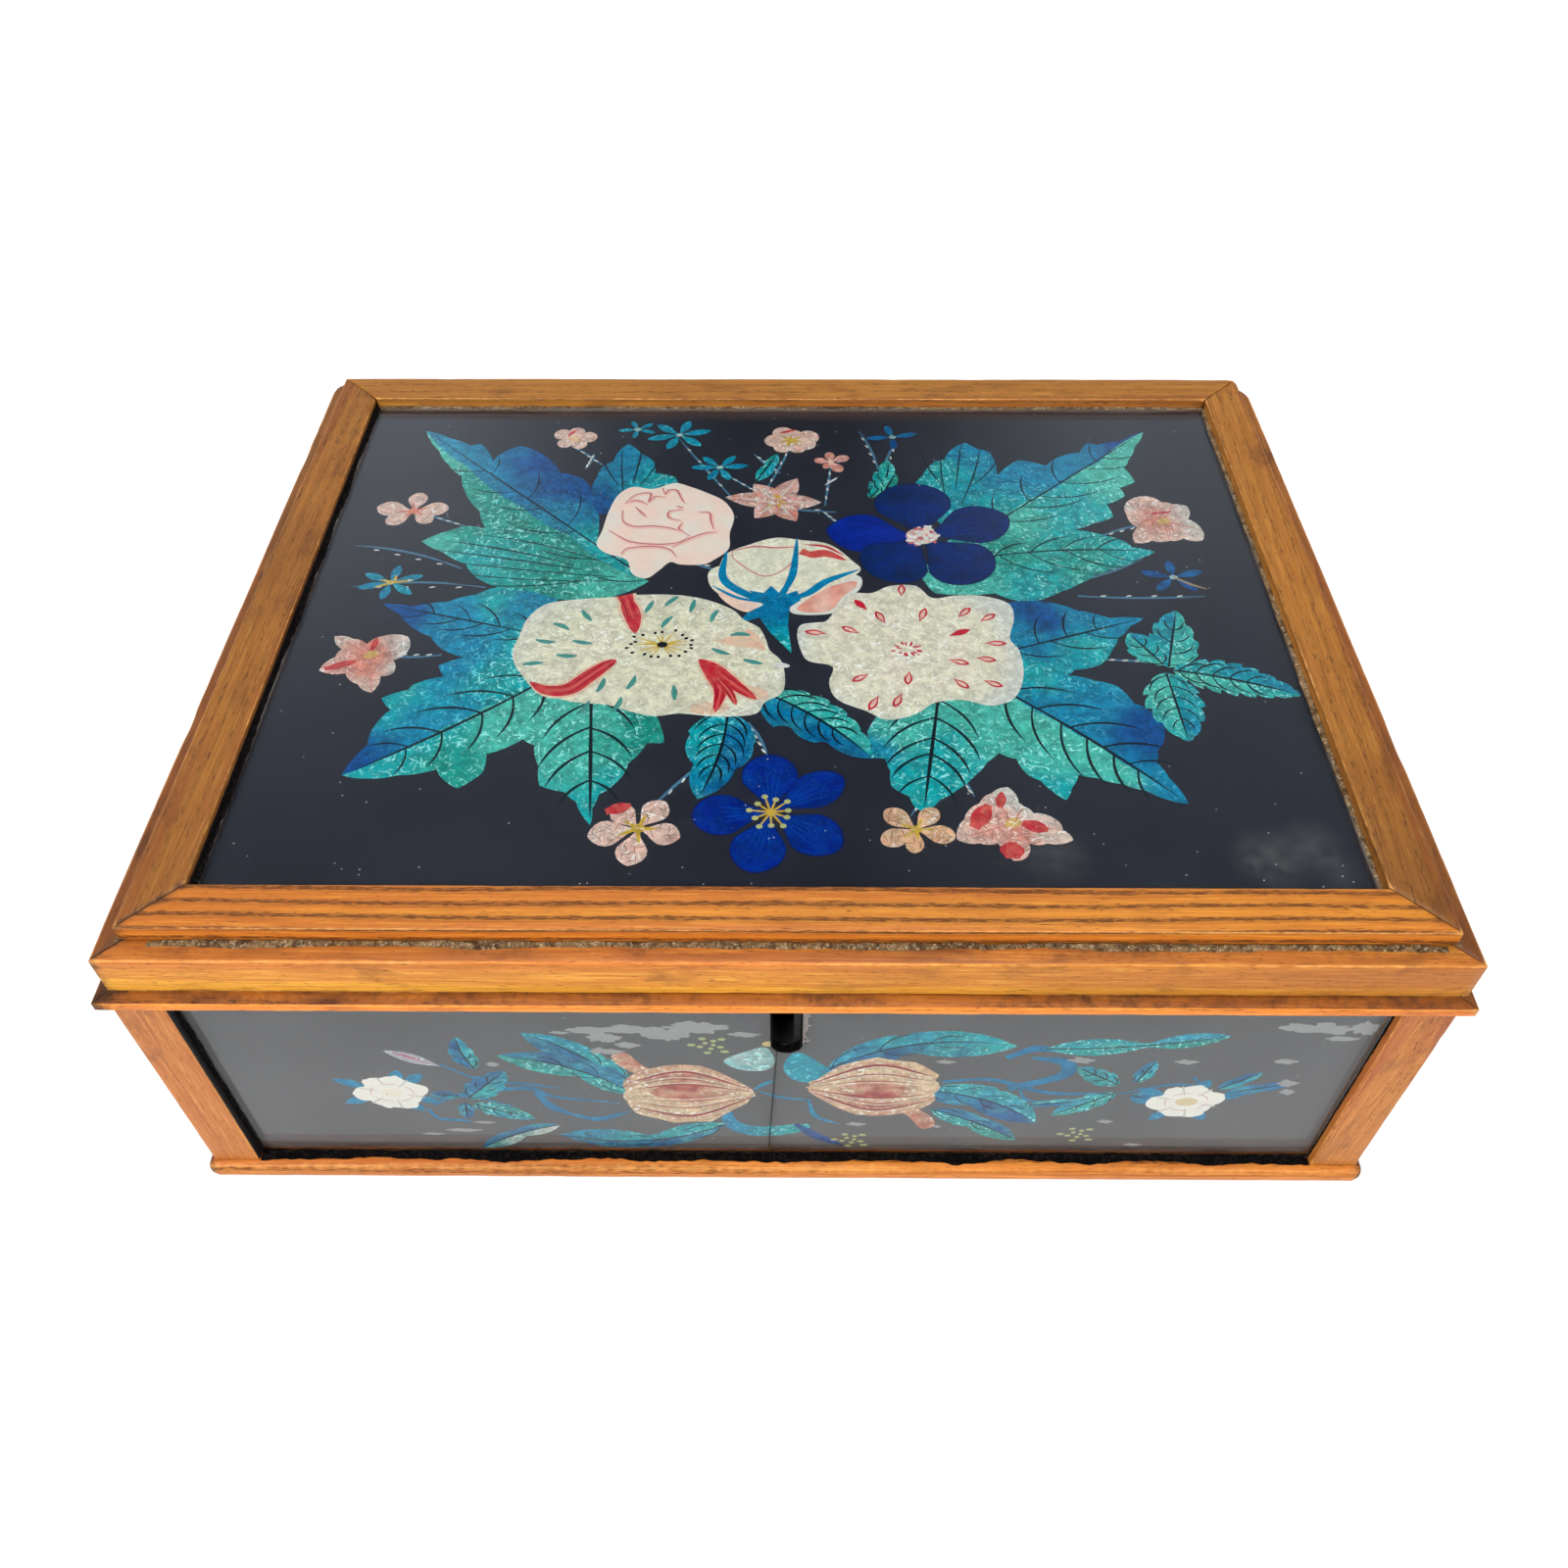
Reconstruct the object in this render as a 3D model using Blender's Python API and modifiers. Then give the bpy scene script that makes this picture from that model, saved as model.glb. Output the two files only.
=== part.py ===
"""Trinket box of wood and glass, with a framed lid that lifts off.

Metres, +Z up. The box stands on z = 0, centred on the origin, with its front towards -Y.
Four posts and four inner walls stand on a round-edged board. Panes of glass fill the spaces
between the posts, and the front pane is cracked in two at the keyhole. A mitred rim lies on
top. The lid is a mitred frame with a board in it, a smaller mitred frame on that, and a pane.
"""

import math

import bmesh
import bpy

# Whole box
BOX_WIDTH = 0.2928
BOX_DEPTH = 0.2264
WALL_HEIGHT = 0.0726
GAP = 0.0003
ARRIS = 0.0007
ARRIS_STEPS = 2

# Base board
BASE_THICKNESS = 0.006
BASE_OVERHANG = 0.002
BASE_ROUNDING = 0.0026
BASE_ROUNDING_STEPS = 4

# Posts and inner walls
POST_WIDTH = 0.012
WALL_THICKNESS = 0.006

# Glass
GLASS_THICKNESS = 0.002
GLASS_RECESS = 0.0022
PAINT_ROOM = 0.0006

# Keyhole in the front wall, and the notch round it in the front glass
KEYHOLE_OFFSET = -0.0002
KEYHOLE_WIDTH = 0.0054
KEYHOLE_HEIGHT = 0.0187
KEYHOLE_DROP = 0.0044
NOTCH_OFFSET = 0.0008
NOTCH_WIDTH = 0.0072
NOTCH_HEIGHT = 0.0227
ROUND_END_SIDES = 24

# Crack in the front glass, from the foot of the notch to the base
CRACK_OFFSET = 0.0023
CRACK_LEAN = math.radians(2.9)

# Rim on top of the walls
RIM_HEIGHT = 0.0032
RIM_OVERHANG = 0.0022
RIM_EDGE_HEIGHT = 0.0025
RIM_SLOPE_WIDTH = 0.0034

# Lid, which lies a little to the right of the middle
LID_SHIFT = 0.0006
LID_SETBACK = 0.0004
LID_FRAME_HEIGHT = 0.0114
LID_LEDGE = 0.0052
TRIM_WIDTH = 0.012
TRIM_HEIGHT = 0.0044
LID_BOARD_THICKNESS = 0.006
LID_BOARD_DROP = 0.0009
LID_GLASS_PLAY = 0.0005

# Outer corners of the mitred frames
FRAME_CORNER = 0.0012
WORN_CORNER = 0.004
CORNER_STEPS = 6
CUTTER_MARGIN = 0.00005
CUTTER_REACH = 0.001
WELD_DISTANCE = 0.00001
FLAT_ANGLE = math.radians(1)
LARGEST_ROUNDING = 0.45

# Levels, from the table up
WALL_BOTTOM = BASE_THICKNESS + GAP
WALL_TOP = WALL_BOTTOM + WALL_HEIGHT
RIM_BOTTOM = WALL_TOP + GAP
RIM_TOP = RIM_BOTTOM + RIM_HEIGHT
LID_BOTTOM = RIM_TOP + GAP
LEDGE_LEVEL = LID_BOTTOM + LID_FRAME_HEIGHT
TRIM_BOTTOM = LEDGE_LEVEL + GAP
LID_BOARD_TOP = LEDGE_LEVEL - LID_BOARD_DROP
LID_GLASS_BOTTOM = LID_BOARD_TOP + PAINT_ROOM

# Depths, inwards from the face of the posts
WALL_INSET = GLASS_RECESS + GLASS_THICKNESS + PAINT_ROOM
CARCASS_DEPTH = max(POST_WIDTH, WALL_INSET + WALL_THICKNESS)
LID_FRAME_WIDTH = LID_LEDGE + TRIM_WIDTH

# The sides in the order in which quarter turns about Z bring the front to them
SIDES = ("front", "right", "back", "left")


def material(name, colour, roughness, transmission=0.0):
    """A Principled material of one colour."""
    made = bpy.data.materials.new(name)
    made.use_nodes = True
    shader = made.node_tree.nodes["Principled BSDF"]
    shader.inputs["Base Color"].default_value = (*colour, 1.0)
    shader.inputs["Roughness"].default_value = roughness
    shader.inputs["Metallic"].default_value = 0.0
    shader.inputs["Transmission Weight"].default_value = transmission
    made.diffuse_color = (*colour, 1.0)
    return made


def dress(piece, surface, parent):
    """Gives a piece its own copy of a material, and the empty that carries it."""
    own = surface.copy()
    own.name = f"{piece.name}_finish"
    piece.data.materials.append(own)
    piece.parent = parent
    return piece


def add_object(name, mesh, collection):
    """Puts a mesh in a collection as an object."""
    made = bpy.data.objects.new(name, mesh)
    collection.objects.link(made)
    return made


def add_bevel(piece, width, steps, by_weight=False):
    """Rounds a piece's edges, or only its weighted ones."""
    bevel = piece.modifiers.new("Rounded edges", "BEVEL")
    bevel.width = width
    bevel.segments = steps
    bevel.limit_method = "WEIGHT" if by_weight else "ANGLE"


def add_boolean(piece, cutter, operation):
    """Cuts a piece by a cutter, or keeps what lies inside it."""
    cut = piece.modifiers.new(cutter.name, "BOOLEAN")
    cut.operation = operation
    cut.solver = "EXACT"
    cut.object = cutter


def block_mesh(name, size):
    """A box of a given size, centred on its origin."""
    shape = bmesh.new()
    bmesh.ops.create_cube(shape, size=1.0)
    bmesh.ops.scale(shape, vec=size, verts=shape.verts)
    mesh = bpy.data.meshes.new(name)
    shape.to_mesh(mesh)
    shape.free()
    return mesh


def turn_of(side):
    """The angle about Z that brings a piece from the front to a side."""
    return math.radians(90) * SIDES.index(side)


def half_sizes(side, overhang=0.0):
    """Half the box along a side, and from its middle out to that side."""
    along, across = BOX_WIDTH, BOX_DEPTH
    if side in ("left", "right"):
        along, across = across, along
    return along / 2 + overhang, across / 2 + overhang


def turn_to(piece, side, inset, level):
    """Places a piece whose face looks towards -Y on a side, this far in from the posts."""
    angle = turn_of(side)
    distance = half_sizes(side)[1] - inset
    piece.location = (distance * math.sin(angle), -distance * math.cos(angle), level)
    piece.rotation_euler.z = angle


def side_panel(name, side, half_length, inset, thickness, collection, surface, parent):
    """A flat panel as high as the posts, on one side of the box."""
    mesh = block_mesh(name, (2 * half_length, thickness, WALL_HEIGHT))
    panel = dress(add_object(name, mesh, collection), surface, parent)
    turn_to(panel, side, inset + thickness / 2, WALL_BOTTOM + WALL_HEIGHT / 2)
    return panel


def slot_cutter(name, middle, width, bottom, top, round_top, collection):
    """An upright slot through the front, round at its foot and, if asked, at its top."""
    radius = width / 2
    across = CARCASS_DEPTH + 2 * CUTTER_REACH
    outline = bpy.data.curves.new(name, "CURVE")
    outline.dimensions = "2D"
    outline.fill_mode = "BOTH"
    outline.extrude = across / 2
    points = []
    for step in range(ROUND_END_SIDES + 1):
        angle = math.pi + math.pi * step / ROUND_END_SIDES
        points.append((radius * math.cos(angle), bottom + radius + radius * math.sin(angle)))
    if round_top:
        for step in range(ROUND_END_SIDES + 1):
            angle = math.pi * step / ROUND_END_SIDES
            points.append((radius * math.cos(angle), top - radius + radius * math.sin(angle)))
    else:
        points += [(radius, top), (-radius, top)]
    spline = outline.splines.new("POLY")
    spline.points.add(len(points) - 1)
    for point, (x, z) in zip(spline.points, points):
        point.co = (x, z, 0.0, 1.0)
    spline.use_cyclic_u = True
    cutter = mesh_from_curve(name, outline, collection)
    cutter.location = (middle, -BOX_DEPTH / 2 + across / 2 - CUTTER_REACH, 0.0)
    cutter.rotation_euler.x = math.radians(90)
    return as_cutter(cutter)


def mesh_from_curve(name, outline, collection):
    """Turns a filled 2D curve into a mesh object with welded caps, and removes the curve."""
    drawn = bpy.data.objects.new(f"{name}_outline", outline)
    collection.objects.link(drawn)
    ready = drawn.evaluated_get(bpy.context.evaluated_depsgraph_get())
    mesh = bpy.data.meshes.new_from_object(ready)
    mesh.name = name
    shape = bmesh.new()
    shape.from_mesh(mesh)
    bmesh.ops.remove_doubles(shape, verts=shape.verts, dist=WELD_DISTANCE)
    bmesh.ops.dissolve_limit(
        shape, angle_limit=FLAT_ANGLE, verts=shape.verts, edges=shape.edges
    )
    bmesh.ops.recalc_face_normals(shape, faces=shape.faces)
    shape.to_mesh(mesh)
    shape.free()
    made = add_object(name, mesh, collection)
    made.matrix_world = drawn.matrix_world
    bpy.data.objects.remove(drawn)
    return made


def as_cutter(piece):
    """Marks a piece as a guide that is no part of the box."""
    piece.hide_render = True
    piece.display_type = "WIRE"
    return piece


def corner_cutter(name, overhang, bottom, top, radii, collection):
    """A block as wide and deep as a frame, with its upright corners rounded.

    radii gives the corners in the order front left, front right, back right, back left.
    """
    margin = overhang + CUTTER_MARGIN
    size = (BOX_WIDTH + 2 * margin, BOX_DEPTH + 2 * margin, top - bottom + 2 * CUTTER_REACH)
    mesh = block_mesh(name, size)
    shape = bmesh.new()
    shape.from_mesh(mesh)
    places = [(-1, -1), (1, -1), (1, 1), (-1, 1)]
    for (x_sign, y_sign), radius in zip(places, radii):
        shape.edges.ensure_lookup_table()
        upright = [
            edge
            for edge in shape.edges
            if all(v.co.x * x_sign > 0 and v.co.y * y_sign > 0 for v in edge.verts)
            and abs(edge.verts[0].co.z - edge.verts[1].co.z) > CUTTER_REACH
        ]
        bmesh.ops.bevel(
            shape,
            geom=upright,
            offset=radius,
            segments=CORNER_STEPS,
            profile=0.5,
            affect="EDGES",
        )
    shape.to_mesh(mesh)
    shape.free()
    cutter = add_object(name, mesh, collection)
    cutter.location.z = (bottom + top) / 2
    return as_cutter(cutter)


def mitred_rail(name, side, profile, overhang, bottom, collection, surface, parent):
    """One rail of a frame, with both ends cut at 45 degrees.

    profile lists the section's points as distances in from the outer face and heights.
    """
    half_run, half_reach = half_sizes(side, overhang)
    outline = bpy.data.curves.new(name, "CURVE")
    outline.dimensions = "2D"
    outline.fill_mode = "BOTH"
    outline.extrude = half_run
    spline = outline.splines.new("POLY")
    spline.points.add(len(profile) - 1)
    for point, (inset, height) in zip(spline.points, profile):
        point.co = (inset, height, 0.0, 1.0)
    spline.use_cyclic_u = True
    rail = mesh_from_curve(name, outline, collection)

    setback = GAP / math.sqrt(2)
    shape = bmesh.new()
    shape.from_mesh(rail.data)
    for vertex in shape.verts:
        inset, height, end = vertex.co
        run = math.copysign(half_run - inset - setback, end)
        vertex.co = (run, inset - half_reach, bottom + height)
    weights = shape.edges.layers.float.new("bevel_weight_edge")
    for edge in shape.edges:
        first, second = edge.verts
        if first.co.x * second.co.x < 0:
            edge[weights] = 1.0
    shape.to_mesh(rail.data)
    shape.free()

    dress(rail, surface, parent)
    rail.rotation_euler.z = turn_of(side)
    add_bevel(rail, ARRIS, ARRIS_STEPS, by_weight=True)
    return rail


def mitred_frame(prefix, profile, overhang, bottom, radii, collections, surface, parent):
    """Four mitred rails, with the frame's outer corners rounded."""
    parts, cutters = collections
    top = bottom + max(height for _, height in profile)
    corners = corner_cutter(f"{prefix}_corners", overhang, bottom, top, radii, cutters)
    corners.parent = parent
    for side in SIDES:
        rail = mitred_rail(
            f"{prefix}_{side}", side, profile, overhang, bottom, parts, surface, parent
        )
        add_boolean(rail, corners, "INTERSECT")


def make_base(parts, surface, parent):
    """The bottom board, with a rounded edge all round."""
    size = (BOX_WIDTH + 2 * BASE_OVERHANG, BOX_DEPTH + 2 * BASE_OVERHANG, BASE_THICKNESS)
    board = add_object("base_board", block_mesh("base_board", size), parts)
    dress(board, surface, parent).location.z = BASE_THICKNESS / 2
    rounding = min(BASE_ROUNDING, LARGEST_ROUNDING * BASE_THICKNESS)
    add_bevel(board, rounding, BASE_ROUNDING_STEPS)


def make_posts(parts, surface, parent):
    """The four corner posts."""
    for end, y_sign in (("front", -1), ("back", 1)):
        for hand, x_sign in (("left", -1), ("right", 1)):
            name = f"post_{end}_{hand}"
            mesh = block_mesh(name, (POST_WIDTH, POST_WIDTH, WALL_HEIGHT))
            post = dress(add_object(name, mesh, parts), surface, parent)
            post.location = (
                x_sign * (BOX_WIDTH - POST_WIDTH) / 2,
                y_sign * (BOX_DEPTH - POST_WIDTH) / 2,
                WALL_BOTTOM + WALL_HEIGHT / 2,
            )
            add_bevel(post, ARRIS, ARRIS_STEPS)


def make_walls(parts, cutters, surface, parent):
    """The inner walls. The side ones end at the posts or at the front and back walls."""
    top = WALL_TOP - KEYHOLE_DROP
    foot = top - KEYHOLE_HEIGHT
    keyhole = slot_cutter("keyhole", KEYHOLE_OFFSET, KEYHOLE_WIDTH, foot, top, True, cutters)
    for side in SIDES:
        end = CARCASS_DEPTH if side in ("left", "right") else POST_WIDTH
        wall = side_panel(
            f"wall_{side}",
            side,
            half_sizes(side)[0] - end - GAP,
            WALL_INSET,
            WALL_THICKNESS,
            parts,
            surface,
            parent,
        )
        if side == "front":
            add_boolean(wall, keyhole, "DIFFERENCE")


def crack_cutter(name, hand, notch_foot, collection):
    """A block that covers all of the front pane on one hand of the crack."""
    size = (BOX_WIDTH, CARCASS_DEPTH, 2 * WALL_HEIGHT)
    cutter = add_object(name, block_mesh(name, size), collection)
    shift = hand * (BOX_WIDTH - GAP) / 2
    cutter.location = (
        NOTCH_OFFSET - CRACK_OFFSET + shift * math.cos(CRACK_LEAN),
        -BOX_DEPTH / 2 + GLASS_RECESS,
        notch_foot - shift * math.sin(CRACK_LEAN),
    )
    cutter.rotation_euler.y = CRACK_LEAN
    return as_cutter(cutter)


def make_side_glass(parts, cutters, surface, parent):
    """The panes between the posts. The front one is in two pieces, round the keyhole."""
    for side in ("right", "back", "left"):
        half_length = half_sizes(side)[0] - POST_WIDTH - GAP
        side_panel(
            f"glass_{side}",
            side,
            half_length,
            GLASS_RECESS,
            GLASS_THICKNESS,
            parts,
            surface,
            parent,
        )
    foot = WALL_TOP - NOTCH_HEIGHT
    top = WALL_TOP + CUTTER_REACH
    notch = slot_cutter("notch", NOTCH_OFFSET, NOTCH_WIDTH, foot, top, False, cutters)
    for kept, removed in (("left", 1), ("right", -1)):
        pane = side_panel(
            f"glass_front_{kept}",
            "front",
            half_sizes("front")[0] - POST_WIDTH - GAP,
            GLASS_RECESS,
            GLASS_THICKNESS,
            parts,
            surface,
            parent,
        )
        beyond = crack_cutter(f"beyond_crack_{kept}", removed, foot, cutters)
        add_boolean(pane, beyond, "DIFFERENCE")
        add_boolean(pane, notch, "DIFFERENCE")


def make_rim(collections, surface, parent):
    """The strips on top of the walls, sloping down to their outer edge."""
    width = RIM_OVERHANG + CARCASS_DEPTH
    profile = [
        (0.0, 0.0),
        (width, 0.0),
        (width, RIM_HEIGHT),
        (min(RIM_SLOPE_WIDTH, width / 2), RIM_HEIGHT),
        (0.0, min(RIM_EDGE_HEIGHT, RIM_HEIGHT - GAP)),
    ]
    radii = [FRAME_CORNER] * 4
    mitred_frame("rim", profile, RIM_OVERHANG, RIM_BOTTOM, radii, collections, surface, parent)


def rectangle(width, height):
    """The section of a plain rail."""
    return [(0.0, 0.0), (width, 0.0), (width, height), (0.0, height)]


def make_lid(collections, wood, glass, parent):
    """The lid: a frame with a board in it, a smaller frame on top, and the glass."""
    mitred_frame(
        "lid_frame",
        rectangle(LID_FRAME_WIDTH, LID_FRAME_HEIGHT),
        -LID_SETBACK,
        LID_BOTTOM,
        [FRAME_CORNER] * 4,
        collections,
        wood,
        parent,
    )
    mitred_frame(
        "lid_trim",
        rectangle(TRIM_WIDTH, TRIM_HEIGHT),
        -LID_SETBACK - LID_LEDGE,
        TRIM_BOTTOM,
        [FRAME_CORNER, FRAME_CORNER, WORN_CORNER, FRAME_CORNER],
        collections,
        wood,
        parent,
    )
    parts = collections[0]
    inner_edge = LID_SETBACK + LID_FRAME_WIDTH
    for name, play, thickness, bottom, surface in (
        ("lid_board", GAP, LID_BOARD_THICKNESS, LID_BOARD_TOP - LID_BOARD_THICKNESS, wood),
        ("lid_glass", LID_GLASS_PLAY, GLASS_THICKNESS, LID_GLASS_BOTTOM, glass),
    ):
        edge = inner_edge + play
        size = (BOX_WIDTH - 2 * edge, BOX_DEPTH - 2 * edge, thickness)
        sheet = add_object(name, block_mesh(name, size), parts)
        dress(sheet, surface, parent).location.z = bottom + thickness / 2


def empty(name, collection):
    """An empty that carries a group of pieces."""
    made = bpy.data.objects.new(name, None)
    collection.objects.link(made)
    return made


def main():
    for old in list(bpy.data.objects):
        bpy.data.objects.remove(old)
    parts = bpy.data.collections.new("trinket_box")
    cutters = bpy.data.collections.new("cutters")
    for collection in (parts, cutters):
        bpy.context.scene.collection.children.link(collection)

    wood = material("honey_wood", (0.56, 0.27, 0.08), 0.38)
    inner_wood = material("inner_wood", (0.33, 0.17, 0.07), 0.6)
    glass = material("clear_glass", (0.9, 0.93, 0.93), 0.03, transmission=1.0)
    box = empty("box", parts)
    lid = empty("lid", parts)
    lid.location.x = LID_SHIFT

    make_base(parts, wood, box)
    make_posts(parts, wood, box)
    make_walls(parts, cutters, inner_wood, box)
    make_side_glass(parts, cutters, glass, box)
    make_rim((parts, cutters), wood, box)
    make_lid((parts, cutters), wood, glass, lid)


main()
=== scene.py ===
"""The looks of a wooden trinket box with reverse-painted glass panels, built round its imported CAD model."""

import math
import random
from types import SimpleNamespace

import bpy
from bpy.props import BoolProperty, FloatProperty, FloatVectorProperty, IntProperty, PointerProperty
from bpy.types import Operator, Panel, PropertyGroup
from mathutils import Matrix, Vector, noise
from mathutils.geometry import delaunay_2d_cdt


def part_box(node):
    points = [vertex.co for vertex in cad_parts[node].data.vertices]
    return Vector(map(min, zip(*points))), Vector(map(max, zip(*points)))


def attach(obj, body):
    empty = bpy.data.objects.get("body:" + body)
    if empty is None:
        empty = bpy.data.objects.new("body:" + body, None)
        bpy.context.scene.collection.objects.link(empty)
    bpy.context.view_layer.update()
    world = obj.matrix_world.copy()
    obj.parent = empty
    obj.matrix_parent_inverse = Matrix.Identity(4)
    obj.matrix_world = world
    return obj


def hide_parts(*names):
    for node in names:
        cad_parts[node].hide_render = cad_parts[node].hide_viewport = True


bl_info = {
    "name": "Trinket Box Finish",
    "version": (1, 0, 0),
    "blender": (4, 5, 0),
    "location": "3D View > Sidebar > Trinket Box",
    "description": "Worn honey wood, clear glass and folk flower paintings for a trinket box",
    "category": "Object",
}

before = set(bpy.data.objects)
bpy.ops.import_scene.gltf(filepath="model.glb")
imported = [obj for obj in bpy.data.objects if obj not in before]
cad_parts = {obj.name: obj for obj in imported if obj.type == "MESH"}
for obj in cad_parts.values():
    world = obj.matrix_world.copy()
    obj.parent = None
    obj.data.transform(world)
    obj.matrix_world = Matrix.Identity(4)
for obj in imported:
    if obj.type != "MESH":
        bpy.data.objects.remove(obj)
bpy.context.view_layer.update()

MM = 0.001
BODY = "root"
SIDES = ("front", "right", "back", "left")

# Camera, fitted to the box's corners: place in metres, angles in degrees, focal length in image widths
CAMERA_PLACE = (0.002, -0.2715, 0.3238)
CAMERA_PITCH = 47.63
CAMERA_YAW = -0.56
CAMERA_ROLL = -0.22
CAMERA_FOCAL = 1359 / 1600
SENSOR_WIDTH = 36


def srgb(red, green, blue):
    """A screen colour, 0 to 255, as the linear light that Blender works in."""
    def linear(value):
        share = value / 255
        return share / 12.92 if share <= 0.04045 else ((share + 0.055) / 1.055) ** 2.4
    return linear(red), linear(green), linear(blue)


# Finishes

class Wire:
    """A socket of a finish that takes part in Python arithmetic, each step adding a Math node."""

    def __init__(self, finish, socket):
        self.finish = finish
        self.socket = socket

    def _math(self, operation, *values):
        return self.finish.node("ShaderNodeMath", {"operation": operation}, dict(enumerate(values)))

    def __add__(self, other):
        return self._math("ADD", self, other)

    def __radd__(self, other):
        return self._math("ADD", other, self)

    def __sub__(self, other):
        return self._math("SUBTRACT", self, other)

    def __rsub__(self, other):
        return self._math("SUBTRACT", other, self)

    def __mul__(self, other):
        return self._math("MULTIPLY", self, other)

    def __rmul__(self, other):
        return self._math("MULTIPLY", other, self)

    def __truediv__(self, other):
        return self._math("DIVIDE", self, other)

    def __abs__(self):
        return self._math("ABSOLUTE", self)

    def fraction(self):
        return self._math("FRACT", self)

    def root(self):
        return self._math("SQRT", self)


class Finish:
    """A material under construction: its nodes are added by node(), and its surface is closed by
    surface()."""

    def __init__(self, name, tree=None):
        if tree is None:
            self.material = bpy.data.materials.new(name)
            self.material.use_nodes = True
            tree = self.material.node_tree
            tree.nodes.clear()
        self.tree = tree

    def node(self, kind, settings=None, sockets=None, output=0):
        """Adds a node, sets what it does, then fills its sockets with values or links, and gives an
        output."""
        added = self.tree.nodes.new(kind)
        for setting, value in (settings or {}).items():
            setattr(added, setting, value)
        for socket, value in (sockets or {}).items():
            if isinstance(value, Wire):
                self.tree.links.new(value.socket, added.inputs[socket])
            else:
                wanted = added.inputs[socket]
                if wanted.type == "RGBA" and len(value) == 3:
                    value = (*value, 1)
                wanted.default_value = value
        return Wire(self, added.outputs[output]) if added.outputs else None

    def attribute(self, name, output="Fac"):
        return self.node("ShaderNodeAttribute", {"attribute_name": name}, output=output)

    def place(self):
        """The surface's own place in metres."""
        return self.node("ShaderNodeTexCoord", output="Object")

    def stretched(self, vector, scale):
        return self.node("ShaderNodeVectorMath", {"operation": "MULTIPLY"}, {0: vector, 1: scale})

    def parts(self, vector):
        """The three numbers of a vector."""
        split = self.tree.nodes.new("ShaderNodeSeparateXYZ")
        self.tree.links.new(vector.socket, split.inputs[0])
        return [Wire(self, output) for output in split.outputs]

    def cloud(self, vector, scale, detail=2, roughness=0.5, distortion=0):
        """Soft noise from 0 to 1."""
        return self.node("ShaderNodeTexNoise", {}, {
            "Vector": vector, "Scale": scale, "Detail": detail, "Roughness": roughness,
            "Distortion": distortion})

    def cells(self, vector, scale, randomness=1, output="Distance"):
        return self.node("ShaderNodeTexVoronoi", {}, {
            "Vector": vector, "Scale": scale, "Randomness": randomness}, output)

    def step(self, value, low, high):
        """Rises smoothly from 0 at low to 1 at high."""
        return self.node("ShaderNodeMapRange", {"interpolation_type": "SMOOTHSTEP"}, {
            "Value": value, "From Min": low, "From Max": high})

    def mixed(self, share, first, second, blend="MIX"):
        return self.node("ShaderNodeMix", {"data_type": "RGBA", "blend_type": blend}, {
            0: share, 6: first, 7: second}, 2)

    def bump(self, height, strength, distance, below=None):
        sockets = {"Height": height, "Strength": strength, "Distance": distance}
        if below:
            sockets["Normal"] = below
        return self.node("ShaderNodeBump", {}, sockets)

    def surface(self, **sockets):
        """Closes the finish with a Principled shader."""
        named = {name.replace("_", " "): value for name, value in sockets.items()}
        shader = self.node("ShaderNodeBsdfPrincipled", {}, named)
        self.node("ShaderNodeOutputMaterial", {}, {"Surface": shader})
        return self.material


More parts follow.
